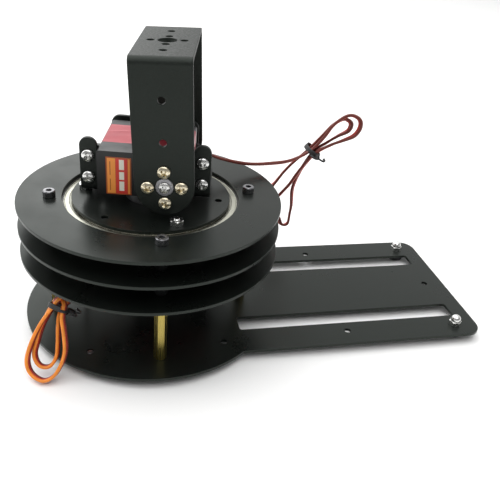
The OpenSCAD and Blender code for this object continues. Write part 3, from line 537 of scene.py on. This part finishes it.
def smooth_route(points, per_span=7):
    """A Catmull-Rom curve through the points."""
    pts = [Vector(p) for p in points]
    pts = [2 * pts[0] - pts[1], *pts, 2 * pts[-1] - pts[-2]]
    made = []
    for a, b, c, d in zip(pts, pts[1:], pts[2:], pts[3:]):
        for i in range(per_span):
            t = i / per_span
            made.append(0.5 * (2 * b + (c - a) * t + (2 * a - 5 * b + 4 * c - d) * t ** 2
                               + (3 * b - a - 3 * c + d) * t ** 3))
    return made + [pts[-2]]


def frames_along(points, first_side, drawn_to=None):
    """The tangent and a side direction at each point, carried along without twisting. A ribbon that is
    drawn to a direction turns towards it little by little."""
    side = Vector(first_side)
    made = []
    for i in range(len(points)):
        ahead = (points[min(i + 1, len(points) - 1)] - points[max(i - 1, 0)]).normalized()
        if drawn_to:
            side = side + DRAW_RATE * Vector(drawn_to)
        side = (side - side.dot(ahead) * ahead).normalized()
        made.append((ahead, side))
    return made


def sweep(points, radius, sides=10, first_side=(0.31, 0.42, 0.85), flat=1.0):
    """A closed tube along the points; flat below 1 thins it across its side direction."""
    bm = bmesh.new()
    rings = []
    for point, (ahead, side) in zip(points, frames_along(points, first_side)):
        across = ahead.cross(side)
        rings.append([bm.verts.new(point + radius * (math.cos(2 * math.pi * k / sides) * side
                                                     + flat * math.sin(2 * math.pi * k / sides) * across))
                      for k in range(sides)])
    skin(bm, rings)
    return outward(bm)


def plug_mesh():
    """A three-way servo plug: wires enter at the origin, and it goes on along +X."""
    long, wide, thick = PLUG_SIZE
    pins = [i * PIN_PITCH for i in (-1, 0, 1)]
    body = boxed((long, wide, thick), (long / 2, 0, 0), 0.3, 3)
    mouths = [boxed((6, 1.3, 1.3), (long - 1.9, y, 0), 0.05, 1) for y in pins]
    windows = [boxed((4.2, 1.5, 1), (6.4, y, thick / 2), 0.1, 1) for y in pins]
    throats = [boxed((2.4, 1.6, 1.6), (0.2, y, 0), 0.1, 1) for y in pins]
    key = [boxed((long - 4, 0.5, 0.5), (long / 2 + 2.2, side * wide / 2, -thick / 2), 0.05, 1)
           for side in (-1, 1)]
    body = carve(body, *mouths, *windows, *throats, *key)
    contacts = joined(*(boxed((9, 0.9, 0.25), (6.5, y, 0.25), 0.08, 1) for y in pins))
    return joined(paint(body, 0), paint(contacts, 1))


def make_lead(name, place, route, wires, body, plug_turn, first_side, drawn_to):
    """Three wires side by side along the route, which fan out to the plug's pins over its last points."""
    plug = piece(name + "_plug_body", plug_mesh(), place @ shift(*route[-1]) @ plug_turn,
                 ("plug", "contact"), body, [name + "_plug"])
    middle = smooth_route(route)
    frames = frames_along(middle, first_side, drawn_to)
    for i, look in enumerate(wires):
        wire = []
        for k, (point, (_, side)) in enumerate(zip(middle, frames)):
            left = len(middle) - 1 - k
            spread = WIRE_GAP + (PIN_PITCH - WIRE_GAP) * max(0, 1 - left / FAN_OUT) ** 2
            # the ribbon is pinched where it enters the servo and the plug
            spread *= min(1.0, 0.75 + min(k, left) * 0.05)
            spot = point + (i - 1) * spread * side
            wire.append(Vector((spot.x, spot.y, max(spot.z, WIRE_D / 2 + 0.05))))
        tube = piece(f"{name}_{look}", sweep(wire, WIRE_D / 2, 12), place, look, body, [name])


# At its servo, the pan lead has its orange wire to the front of the mount, and the tilt lead its brown one
make_lead("pan_lead", BASE, PAN_ROUTE, PAN_WIRES, "base", Matrix.Identity(4), (0, 1, 0.1), (0.64, 1.6, -1.0))
make_lead("tilt_lead", TABLE, TILT_ROUTE, TILT_WIRES, "turntable", turn(90, "Y"), (0, -0.9, -0.3),
          (-0.1, -1.62, 1.18))


def grommet_mesh():
    """A ribbed rubber sleeve round the three wires, along +Z from the case's wall."""
    bm = boxed((2.2, 4.6, 1.5), (0, 0, 0.75), 0.25, 3)
    collars = [boxed((2.5, 5.0, 0.45), (0, 0, z), 0.18, 2) for z in (0.3, 1.1)]
    return joined(bm, *collars)


def tie_mesh(opening, turns, wire):
    """A twist tie: its wire goes round the bundle, then its ends are twisted and curl apart."""
    half_x, half_y = opening[0] / 2 + 0.5, opening[1] / 2 + 0.5
    steps = 40
    loop = []
    for i in range(int(turns * steps) + 1):
        a = 2 * math.pi * i / steps
        # a superellipse hugs the bundle, and each turn lies beside the last
        x = half_x * math.copysign(abs(math.cos(a)) ** 0.7, math.cos(a))
        y = half_y * math.copysign(abs(math.sin(a)) ** 0.7, math.sin(a))
        loop.append(Vector((x, y, 0.3 + i / steps)))
    wrap = sweep(loop, wire, 8, (0, 0, 1), 0.75)
    start = Vector((half_x - 0.6, 1.2, 1.8))
    tails = []
    for phase in (0, math.pi):
        twist = [start + Vector((3.2 * t, 0.75 * math.cos(5 * math.pi * t + phase),
                                 0.75 * math.sin(5 * math.pi * t + phase)))
                 for t in (i / 30 for i in range(31))]
        way = 1 if phase else -1
        curl = [twist[-1] + Vector((1.6 * math.sin(a), way * 1.7 * (1 - math.cos(a)), way * 0.9 * a / 3))
                for a in (math.radians(12 * i) for i in range(1, 19))]
        tails.append(sweep(twist + curl, wire * 0.8, 8, (0, 0, 1), 0.8))
    return joined(wrap, *tails)


for servo, place, body in SERVOS:
    piece(servo + "_grommet_sleeve", grommet_mesh(), place @ shift(-10, 0, -25) @ turn(-90, "Y"), "rubber",
          body, [servo + "_lead_grommet"])
piece("pan_twist_tie", tie_mesh((7.2, 8.8), 1.8, 0.62),
      BASE @ leaning((-42.9, -36.9, 28.2), (0.865, -0.409, -0.286), (0.445, 0.373, 0.813)), "tie", "base",
      ["pan_lead_tie"])
piece("tilt_twist_tie", tie_mesh((6.5, 7), 2.6, 0.75),
      TABLE @ shift(77.2, 50.8, 70.4) @ turn(35, "Y") @ turn(-70, "Z"), "tie", "turntable",
      ["tilt_lead_tie"])


# ---- Fasteners ----
def turned_hex(across_flats, height, bore=0.0, chamfer=0.35):
    """Hexagon bar with both ends chamfered on a lathe, and a bore."""
    corner = across_flats / math.sqrt(3)
    top = corner - chamfer * 1.3
    cone = lathe([(0, 0), (top, 0), (corner + 0.02, chamfer), (corner + 0.02, height - chamfer),
                  (top, height), (0, height)], 64)
    bar = carve(prism(6, across_flats, height), cone, mode="INTERSECT")
    if bore:
        bar = carve(bar, lathe([(0, -1), (bore, -1), (bore, height + 1), (0, height + 1)], 36))
    return soften(bar, 0.04, 2, 30)


def cross_recess(width, length, depth, z):
    """A Phillips recess: two tapered slots that meet in a point."""
    slots = []
    for angle in (0, 90):
        bm = bmesh.new()
        half, low = length / 2, length * 0.16
        corners = [(-half, z + 0.4, width / 2), (half, z + 0.4, width / 2), (low, z - depth, width * 0.32),
                   (-low, z - depth, width * 0.32)]
        near = [bm.verts.new((x, -w, h)) for x, h, w in corners]
        far = [bm.verts.new((x, w, h)) for x, h, w in corners]
        bm.faces.new(near)
        bm.faces.new(list(reversed(far)))
        for i in range(4):
            n = (i + 1) % 4
            bm.faces.new((near[i], far[i], far[n], near[n]))
        slots.append(moved(outward(bm), turn(angle, "Z")))
        bm.free()
    return slots


def thread(radius, low, high, pitch=0.5, per_turn=20):
    """A threaded stretch along Z with a chamfered end at high."""
    bm = bmesh.new()
    rows = []
    steps = max(2, int((high - low) / pitch * 4))
    for s in range(steps + 1):
        z = low + (high - low) * s / steps
        fade = min(1.0, (high - z) / 0.4)
        row = []
        for k in range(per_turn):
            wave = abs(((z / pitch - k / per_turn) % 1.0) * 2 - 1)
            r = (radius - 0.26 * (1 - wave)) * (0.84 + 0.16 * fade)
            a = 2 * math.pi * k / per_turn
            row.append(bm.verts.new((r * math.cos(a), r * math.sin(a), z)))
        rows.append(row)
    skin(bm, rows)
    return bm


def pan_head(length, head_r=M3_HEAD, head_h=M3_HEAD_H, shank_r=M3_R):
    """A domed Phillips screw that points down, with its head on z = 0."""
    dome = [(head_r * math.cos(math.radians(a)), head_h * 0.36 + head_h * 0.64 * math.sin(math.radians(a)))
            for a in range(0, 91, 9)]
    profile = [(0, -0.3), (shank_r, -0.3), (shank_r, 0), (head_r - 0.15, 0), (head_r, 0.12)] + dome
    head = carve(lathe(profile, 56), *cross_recess(head_r * 0.4, head_r * 1.35, head_h * 0.8, head_h))
    shank = moved(thread(shank_r, 0, length), turn(180, "X"))
    return joined(head, shank)


def socket_head(length):
    """A socket cap screw that points down: knurled head with a hexagon socket."""
    r, h = M3_HEAD, 3.0
    profile = [(0, 0), (r - 0.2, 0), (r, 0.2), (r, 0.4), (r, h - 0.55), (r, h - 0.4), (r - 0.35, h), (0, h)]
    head = lathe(profile, 72)
    for vert in head.verts:
        if 0.3 < vert.co.z < h - 0.5 and vert.co.xy.length > r - 0.1:
            k = round(math.degrees(math.atan2(vert.co.y, vert.co.x)) / 5)
            if k % 2:
                vert.co.xy *= 1 - 0.11 / r
    head = carve(head, prism(6, 2.5, 2.2, h - 1.6, 0))
    shank = moved(thread(M3_R, 0, length), turn(180, "X"))
    return joined(soften(head, 0.03, 1, 60), shank)


def nut_mesh():
    return turned_hex(M3_NUT_ACROSS, M3_NUT_H, 1.5, 0.3)


def dome_nut():
    r, dome_z = M3_NUT_ACROSS / 2 - 0.2, 3.0
    cap = [(0, 2.0), (r, 2.0), (r, dome_z), *arc(0, dome_z, r, 10, 90, 8)]
    return joined(turned_hex(M3_NUT_ACROSS, M3_NUT_H, 0, 0.3), lathe(cap, 48))


def posts(z, spin=0.0):
    return [turn(a, "Z") @ shift(POST_R, 0, z) @ turn(spin, "Z") for a in POST_ANGLES]


def clamps(z, spin=0.0):
    return [turn(a, "Z") @ shift(CLAMP_R, 0, z) @ turn(spin, "Z") for a in CLAMP_ANGLES]


def four_places(centre_x, half_x, half_y):
    return [(centre_x + sx * half_x, sy * half_y) for sx in (-1, 1) for sy in (-1, 1)]


FEET_BACK = [(-30.5, side * 38) for side in (-1, 1)]
FEET_FRONT = [(151, side * 37.5) for side in (-1, 1)]
BASE_SCREW_R = 1.4
FOOT_RECESS_Z = 2

piece("standoff_posts", repeated(turned_hex(POST_ACROSS, STANDOFF_H), posts(BASE_TOP)), BASE, "brass",
      "base", ["brass_standoffs"])
piece("lower_hex_spacers", repeated(turned_hex(POST_ACROSS, LOWER_SPACER_H, M3_HOLE), posts(SERVO_DECK_TOP)),
      BASE, "spacer", "base", ["lower_spacers"])
piece("upper_hex_spacers", repeated(turned_hex(POST_ACROSS, BEARING_H, M3_HOLE), posts(BEARING_Z)),
      BASE, "spacer", "base", ["upper_spacers"])
piece("stack_cap_screws", repeated(socket_head(30), posts(TURNTABLE_TOP, 11)), BASE, "dark_steel", "base",
      ["stack_screws"])
piece("foot_domed_nuts",
      repeated(dome_nut(), [shift(x, y, BASE_TOP) @ turn(14, "Z") for x, y in FEET_FRONT]),
      BASE, "nickel", "base", ["foot_cap_nuts"])


def foot_screws(length, feet):
    return repeated(pan_head(length, M3_HEAD, 1.4, BASE_SCREW_R),
                    [shift(x, y, FOOT_RECESS_Z) @ turn(180, "X") for x, y in feet])


piece("base_pan_screws", joined(
    foot_screws(3.3, FEET_BACK), foot_screws(6.4, FEET_FRONT),
    repeated(pan_head(7, shank_r=BASE_SCREW_R), [m @ turn(180, "X") for m in posts(BASE_Z)])),
      BASE, "dark_steel", "base", ["base_screws"])
piece("clamp_bolts_and_nuts", joined(
    repeated(nut_mesh(), clamps(TURNTABLE_TOP, 17)),
    repeated(thread(M3_R, BEARING_DECK_Z + 1, TURNTABLE_TOP + 3), clamps(0)),
    repeated(lathe([(0, 0), (2.7, 0), (2.75, 0.1), (M3_R, 1.4), (0, 1.4)], 40), clamps(BEARING_DECK_Z))),
      TABLE, "nickel", "turntable", ["clamp_fasteners"])

# Servo: the shaft's axis is at x = 0 and the case's middle at x = 10; lug holes 49.5 x 10 mm
LUG_PLACES = four_places(10, 24.75, 5)
CASE_SCREW_PLACES = four_places(10, 18.2, 8.2)


def lug_screws(head_z, grip):
    """Screws down through the lugs, each at a turn of its own, with nuts below."""
    return joined(
        repeated(pan_head(grip + 3), [shift(x, y, head_z) @ turn(20 + 31 * x, "Z") for x, y in LUG_PLACES]),
        repeated(nut_mesh(), [shift(x, y, head_z - grip - M3_NUT_H) @ turn(9 * x, "Z")
                              for x, y in LUG_PLACES]))


piece("pan_servo_lug_screws", lug_screws(2.5, 4.0), PAN_SERVO, "nickel", "base",
      ["pan_servo_screws"])
piece("tilt_servo_lug_screws", lug_screws(4.5, 4.5), TILT_SERVO, "nickel", "turntable",
      ["tilt_servo_screws"])
for servo, place, body in SERVOS:
    piece(servo + "_servo_back_screws", repeated(
        pan_head(30, 1.6, 0.8, 0.9), [shift(x, y, -28) @ turn(180, "X") for x, y in CASE_SCREW_PLACES]),
        place, "nickel", body, [servo + "_servo_case_screws"])

# The tilt horn's screws sit on the front arm and on the horn's boss, which ends level with it
HORN_TOP = 21
piece("horn_pan_screws", repeated(
    pan_head(4.8), [turn(a, "Z") @ shift(HORN_SCREW_R, 0, HORN_TOP) @ turn(28 + a * 0.4, "Z")
                    for a in HORN_ANGLES]),
      TILT_HORN, "gold_screw", "tilt_frame", ["tilt_horn_screws"])
piece("horn_centre_screw", moved(pan_head(9, 2.35, 1.3, 1.2), shift(0, 0, HORN_TOP) @ turn(38, "Z")),
      TILT_HORN, "nickel", "tilt_frame", ["tilt_horn_screws"])


def on_idler(y):
    """A place on the rear arm's axis, with Z towards the front."""
    return shift(TILT_X, y, TILT_Z) @ turn(90, "X")


piece("idler_bolt_and_nut", joined(
    moved(pan_head(11), on_idler(25.5)), moved(nut_mesh(), on_idler(34.7)),
    moved(lathe([(1.5, 0), (2.9, 0), (3, 0.08), (3, 0.32), (2.9, 0.4), (1.5, 0.4)], 40, True),
          on_idler(27.9))),
      TABLE, "nickel", "turntable", ["idler_screw"])
piece("idler_ball_bearing", lathe(
    [(1.5, -0.9), (4.5, -0.9), (4.6, -0.8), (4.6, -0.1), (4.5, 0), (4, 0), (4, 3.0), (3.9, 3.1), (3.45, 3.1),
     (3.4, 2.85), (2.3, 2.85), (2.25, 3.1), (1.6, 3.1), (1.5, 3.0)], 64, True),
      TILT @ shift(TILT_X, 29, TILT_Z) @ turn(-90, "X"), "race", "tilt_frame",
      ["idler_bearing"])


# ---- Decks ----
def holes(points, r=M3_HOLE):
    return [circle(x, y, r, 32) for x, y in points]


def base_loops():
    """The round deck with its tail, whose edges meet the circle, and the two long slots."""
    tail_half, reach, corner = 46, 163, 8
    slot_from, slot_to, slot_near, slot_far = 40, 154, 20, 30
    meet = math.degrees(math.asin(tail_half / DECK_R))
    outline = arc(0, 0, DECK_R, meet, 360 - meet, 110)
    outline += arc(reach - corner, -tail_half + corner, corner, -90, 0, 12)
    outline += arc(reach - corner, tail_half - corner, corner, 0, 90, 12)
    slots = [round_rect(slot_from, low, slot_to, high, 1.2, 5)
             for low, high in ((slot_near, slot_far), (-slot_far, -slot_near))]
    tail = [(93, -36.5), (93, 36.5), (30.5, -38), (30.5, 38), (152, 0)]
    return [outline, *slots, *holes(tail + FEET_BACK + FEET_FRONT + on_circle(POST_ANGLES, POST_R))]


def deck_ring(*windows):
    return [circle(0, 0, DECK_R, 160), *windows, *holes(on_circle(POST_ANGLES, POST_R))]


# the servo's case of 40 x 20 mm with 0.25 mm to spare
SERVO_WINDOW = round_rect(-10.25, -10.25, 30.25, 10.25, 1.2, 5)
BEARING_WINDOW, TOP_WINDOW = circle(0, 0, 38.5, 128), circle(0, 0, 40.2, 128)
HUB_HOLES = [circle(0, 0, HUB_BORE, 40), *holes(on_circle(HUB_ANGLES, HORN_SCREW_R))]
HUB_LOOPS = [circle(0, 0, HUB_R, 96), *HUB_HOLES]
DISC_LOOPS = [circle(0, 0, DISC_R, 144), *HUB_HOLES, *holes(on_circle(DISC_ANGLES, CLAMP_R))]
CLAMP_LOOPS = [circle(0, 0, CLAMP_DISC_R, 144), circle(0, 0, CLAMP_DISC_BORE, 120),
               *holes(on_circle(CLAMP_ANGLES, CLAMP_R), CLAMP_HOLE)]


def deck(name, loops, z, node, place=BASE, body="base"):
    piece(name, blank(loops, SHEET, z), place, "deck", body, [node])


deck("base_deck", base_loops(), BASE_Z, "base_plate")
deck("servo_deck", deck_ring(SERVO_WINDOW, *holes(LUG_PLACES)), SERVO_DECK_Z, "servo_plate")
deck("bearing_deck", deck_ring(BEARING_WINDOW), BEARING_DECK_Z, "bearing_plate")
deck("top_deck_ring", deck_ring(TOP_WINDOW), TOP_RING_Z, "top_ring")
deck("turntable_disc", DISC_LOOPS, TOP_RING_Z, "pan_disc", TABLE, "turntable")
deck("turntable_clamp", CLAMP_LOOPS, BEARING_DECK_Z, "clamp_disc", TABLE, "turntable")
piece("hub_spacer_rings", joined(blank(HUB_LOOPS, LOWER_HUB_H, TOP_RING_Z - LOWER_HUB_H, 0.3),
                                 blank(HUB_LOOPS, UPPER_HUB_H, TURNTABLE_TOP, 0.3)),
      TABLE, "hub", "turntable", ["hub_spacers"])


def foot_mesh():
    """A round rubber foot that widens upwards, with a recess below for its screw's head."""
    return lathe([(M3_HOLE, FOOT_RECESS_Z), (2.9, FOOT_RECESS_Z), (2.9, 0.1), (3.0, 0), (4.0, 0),
                  (4.3, 0.15), (4.45, 0.5), (4.9, 3.3), (4.98, 3.7), (4.85, BASE_Z), (M3_HOLE, BASE_Z)],
                 56, True)


piece("foot_pads", repeated(foot_mesh(), [shift(x, y, 0) for x, y in FEET_BACK + FEET_FRONT]), BASE,
      "rubber", "base", ["rubber_feet"])


# ---- Thin-section bearing under the turntable ----
BORE_R, PITCH_R, OUTSIDE_R = 32.5, 37.5, 42.5
GROOVE_R, SHOULDER = 2.85, 1.9
SHIELD_IN = 0.8


def race_mesh(shoulder_r, far_r):
    """A race from its grooved shoulder to its plain far side."""
    side = 1 if far_r > shoulder_r else -1
    reach = math.degrees(math.acos(SHOULDER / GROOVE_R))
    groove = arc(PITCH_R, BEARING_H / 2, GROOVE_R, -side * reach, side * reach, 10)
    if side < 0:
        groove = [(2 * PITCH_R - x, z) for x, z in groove]
        groove = sorted(groove, key=lambda p: p[1])
    chamfer = 0.4 * side
    profile = [(shoulder_r, 0), *groove, (shoulder_r, BEARING_H), (far_r - chamfer, BEARING_H),
               (far_r, BEARING_H - 0.4), (far_r, 0.4), (far_r - chamfer, 0)]
    return lathe(profile, 160, True)


def shield_mesh():
    """A pressed shield: a crimped lip in the outer race, a flat band and a turned-down inner edge."""
    outer, inner, lip = 39.4, 35.85, 37.1
    bm = lathe([(outer, 0.05), (outer, 0.4), (outer - 0.25, 0.4), (outer - 0.45, 0.22), (outer - 0.7, 0.36),
                (lip, 0.38), (lip - 0.2, 0.2), (inner + 0.1, 0.16), (inner, 0.08), (inner, -0.15),
                (inner + 0.15, -0.15), (inner + 0.25, 0), (lip - 0.3, 0.02), (outer - 0.1, 0)], 192, True)
    # the inner band, inside the lip, takes the darker copy of the steel: painted shade beside the
    # turntable's disc
    for face in bm.faces:
        face.material_index = int(face.calc_center_median().xy.length < lip - 0.05)
    return bm


piece("outer_ring", race_mesh(PITCH_R + SHOULDER, OUTSIDE_R), BASE @ shift(0, 0, BEARING_Z), "blued", "base",
      ["bearing_outer_race"])
piece("inner_ring", race_mesh(PITCH_R - SHOULDER, BORE_R), BASE @ shift(0, 0, BEARING_Z), "race",
      "turntable", ["bearing_inner_race"])
# the shields' inner bands carry painted shade: a darker copy of the same steel
piece("dust_shields", joined(moved(shield_mesh(), shift(0, 0, TOP_RING_Z - SHIELD_IN)),
                             moved(shield_mesh(), shift(0, 0, BEARING_Z + SHIELD_IN) @ turn(180, "X"))),
      BASE, ("shield", "shield_painted_shade"), "base", ["bearing_shields"])
dress("bearing_balls", "ball")
dress("bearing_cage", "cage", 0.15)


# ---- Folded brackets: cut flat, then bent up about two lines ----
BEND_R, PLATE = 3.0, 2.0
ARM_FACES = (-26, 31)
BRACKET_FACES = (-9.5, 27.5)
ARM_HOLES = (19.3, 36.8)
CAMERA_PAIR = 17
BEND_LENGTH = math.pi / 2 * (BEND_R - PLATE / 2)
BEND_STEPS = 9


def bent(along, height, near, far):
    """Where a point of the flat sheet goes when its ends are folded up past near and far."""
    for line, way in ((near, -1), (far, 1)):
        past = way * (along - line)
        if past > 0:
            angle = min(past / BEND_LENGTH, 1) * math.pi / 2
            rise = max(past - BEND_LENGTH, 0)
            reach = BEND_R - height
            return line + way * reach * math.sin(angle), BEND_R - reach * math.cos(angle) + rise
    return along, height


def folded(loops, front, back):
    """A sheet cut to the loops and bent up at both ends, with its outer faces at y = front and y = back."""
    near, far = front + BEND_R, back - BEND_R
    bm = blank(loops, PLATE, 0, 0.3, 3)
    for line, way in ((near, -1), (far, 1)):
        for k in range(BEND_STEPS + 1):
            cut = (0, line + way * BEND_LENGTH * k / BEND_STEPS, 0)
            bmesh.ops.bisect_plane(bm, geom=bm.verts[:] + bm.edges[:] + bm.faces[:], plane_co=cut,
                                   plane_no=(0, 1, 0))
    for vert in bm.verts:
        vert.co.y, vert.co.z = bent(vert.co.y, vert.co.z, near, far)
    return bm


def rounded(corners, steps=8):
    """An outline through (x, y, radius) corners, each rounded off where it has a radius."""
    made = []
    for i, (x, y, r) in enumerate(corners):
        if not r:
            made.append((x, y))
            continue
        here = Vector((x, y))
        back = (Vector(corners[i - 1][:2]) - here).normalized()
        on = (Vector(corners[(i + 1) % len(corners)][:2]) - here).normalized()
        centre = here + (back + on) * r
        for k in range(steps + 1):
            a = math.pi / 2 * k / steps
            made.append(tuple(centre - on * r * math.cos(a) - back * r * math.sin(a)))
    return made


def horn_pattern(y, boss_hole=4):
    """The holes for a servo horn: its boss and four screws, round a point on the middle line."""
    return [circle(0, y, boss_hole, 40),
            *holes([(x, up + y) for x, up in on_circle(HORN_ANGLES, HORN_SCREW_R)])]


# The loops are in the flat sheet, where the arms and the wall run on past their folds
def u_bracket_loops():
    """One strip with round ends: the arms' axes lie at its ends, and the camera's holes near the middle."""
    half_width, front_axis, back_axis, top = 12.5, -76.64, 81.64, 2.5
    outline = arc(0, front_axis, half_width, 180, 360, 32) + arc(0, back_axis, half_width, 0, 180, 32)
    cuts = []
    for axis, way in ((front_axis, 1), (back_axis, -1)):
        cuts += horn_pattern(axis) + holes([(0, axis + way * rise) for rise in ARM_HOLES])
    return [outline, *cuts, *horn_pattern(top), *holes([(0, top - CAMERA_PAIR), (0, top + CAMERA_PAIR)])]


def servo_bracket_loops():
    """A floor with a rear wall, and an ear to each side of the servo's case for its lugs."""
    case_left, case_right, floor_front, floor_back = -22.5, 19.1, -3.5, 21.5
    ear_left, ear_right, ear_end, ear_r = -30.2, 26.8, -31.64, 3.8
    wall_end, wall_r, lug_y, idler_y = 48.14, 4, -18.64, 36.64
    outline = rounded([
        (case_right, floor_back, 0), (case_right, wall_end, wall_r), (case_left, wall_end, wall_r),
        (case_left, floor_back, 0), (ear_left, floor_back, 0), (ear_left, ear_end, ear_r),
        (case_left, ear_end, ear_r), (case_left, floor_front, 0), (case_right, floor_front, 0),
        (case_right, ear_end, ear_r), (ear_right, ear_end, ear_r), (ear_right, floor_back, 0)])
    lugs = [(TILT_X - x, lug_y + y) for x, y in reversed(LUG_PLACES)]
    return [outline, *HUB_HOLES, *holes(lugs + [(TILT_X, idler_y)])]


piece("camera_u_bracket", folded(u_bracket_loops(), *ARM_FACES),
      TILT @ shift(TILT_X, 0, U_TOP_Z) @ turn(180, "Y"), "u_bracket", "tilt_frame",
      ["u_bracket"])
piece("tilt_servo_bracket", folded(servo_bracket_loops(), *BRACKET_FACES), TABLE @ shift(0, 0, BRACKET_Z),
      "bracket", "turntable", ["servo_bracket"])


# ---- Horns, with the label of the tilt servo ----
def horn_mesh():
    """Collar, disc and a bare steel boss, with four screw holes through the disc."""
    profile = [(0, 11.5), (4.4, 11.5), (4.5, 11.6), (4.5, 16), (9.95, 16), (10.25, 16.3), (10.25, 18.7),
               (9.95, 19), (4.1, 19), (3.95, 19.15), (3.95, HORN_TOP - 0.25), (3.7, HORN_TOP), (0, HORN_TOP)]
    bores = [moved(lathe([(0, 15), (1.5, 15), (1.5, 18.75), (1.75, 19.1), (0, 19.1)], 28), shift(x, y, 0))
             for x, y in on_circle(HORN_ANGLES, HORN_SCREW_R)]
    bm = carve(lathe(profile, 96), *bores)
    for face in bm.faces:
        middle = face.calc_center_median()
        face.material_index = int(middle.z > 18.9 and middle.xy.length < 4.2)
    return bm


HORN_LOOKS = ("horn", "dark_steel")
piece("tilt_output_horn", horn_mesh(), TILT_HORN, HORN_LOOKS, "tilt_frame", ["tilt_horn"])
piece("pan_output_horn", horn_mesh(), TABLE @ shift(0, 0, SERVO_DECK_TOP), HORN_LOOKS, "turntable",
      ["pan_horn"])


def label_mesh():
    """A printed label: a bordered panel of upright stripes, with plain bars where the print would be."""
    wide, high, border = 10.8, 17.2, 0.5
    edge, orange, red, pale = range(4)
    parts = [paint(boxed((wide, high, 0.10), (0, 0, 0.05), 0.02, 1), edge)]
    for x, width, colour in ((-3.1, 3.5, orange), (1.3, 5.1, red), (4.4, 0.9, orange)):
        parts.append(paint(boxed((width, high - 2 * border, 0.04), (x, 0, 0.11), 0.01, 1), colour))
    for y, length in ((5.3, 4.6), (0.2, 3.6), (-4.6, 4.4)):
        parts.append(paint(boxed((2.1, length, 0.03), (1.3, y, 0.135), 0.005, 1), pale))
    for y, length in ((3.5, 6.2), (-4.1, 5.4)):
        parts.append(paint(boxed((0.35, length, 0.03), (-3.6, y, 0.135), 0.005, 1), edge))
    return joined(*parts)


piece("tilt_servo_label", label_mesh(), TABLE @ shift(-12.4, -15.5, 79.4) @ turn(90, "X"),
      ("label_edge", "label_orange", "label_red", "label_print"), "turntable")


# ---- Servos and gears keep their CAD shapes, with broken edges ----
dress("pan_horn_screws", "nickel", 0.1)
for servo in ("pan", "tilt"):
    dress(servo + "_servo_bottom_case", "servo", 0.3)
    dress(servo + "_servo_middle_case", "servo_red", 0.25)
    dress(servo + "_servo_top_case", "servo", 0.3)
    dress(servo + "_servo_motor", "motor", 0.2)
    dress(servo + "_servo_board", "board", 0.1)
    dress(servo + "_output_shaft", "gear", 0.06)
    for gear in ("pinion", "gear_1", "gear_2", "gear_3"):
        dress(f"{servo}_{gear}", "gear", 0.03)


# ---- Floor, lights and the last lines ----
def make_floor():
    bm = bmesh.new()
    bmesh.ops.create_grid(bm, x_segments=8, y_segments=8, size=3.0)
    mesh = to_mesh(bm, "floor")
    floor = bpy.data.objects.new("floor", mesh)
    bpy.context.scene.collection.objects.link(floor)
    look = Look("pale_paper", (0.95, 0.95, 0.945), 0.0, 0.75)
    look.vary(look.ramp(look.noise(9, 3, 0.5), 0, 0.3), (0.93, 0.93, 0.925))
    look.relief(look.noise(1200, 2, 0.5), 0.1, 0.00003)
    mesh.materials.append(look.material)


def area_light(name, spot, aim, size, power):
    data = bpy.data.lights.new(name, "AREA")
    data.shape = "RECTANGLE"
    data.size, data.size_y = size
    data.energy = power
    light = bpy.data.objects.new(name, data)
    light.location = spot
    light.rotation_euler = (Vector(aim) - Vector(spot)).to_track_quat("-Z", "Y").to_euler()
    bpy.context.scene.collection.objects.link(light)


def make_world():
    """Studio air: bright beyond the mount and dim on the camera's side, blended by direction alone."""
    world = bpy.data.worlds.new("studio")
    world.use_nodes = True
    tree = world.node_tree
    way = tree.nodes.new("ShaderNodeTexCoord")
    axes = tree.nodes.new("ShaderNodeSeparateXYZ")
    blend = tree.nodes.new("ShaderNodeMapRange")
    for socket, value in (("From Min", -0.4), ("From Max", 0.5), ("To Min", 0.3), ("To Max", 0.9)):
        blend.inputs[socket].default_value = value
    tree.links.new(way.outputs["Generated"], axes.inputs["Vector"])
    tree.links.new(axes.outputs["Y"], blend.inputs["Value"])
    background = tree.nodes["Background"]
    background.inputs["Color"].default_value = (1, 1, 1, 1)
    tree.links.new(blend.outputs["Result"], background.inputs["Strength"])
    bpy.context.scene.world = world


def make_light():
    middle = (0, 0, 0.06)
    area_light("overhead_softbox", (-0.1, 0.1, 1.3), middle, (1.6, 1.9), 18)
    area_light("back_softbox", (-0.5, 1.3, 0.75), middle, (1.3, 0.6), 4.5)
    area_light("front_strip", (-0.1, -0.85, 1.15), middle, (1.3, 0.35), 3)
    area_light("left_softbox", (-1.1, 0.2, 0.7), middle, (0.6, 0.8), 3)
    bpy.context.scene.view_settings.view_transform = "Standard"


make_floor()
make_world()
make_light()
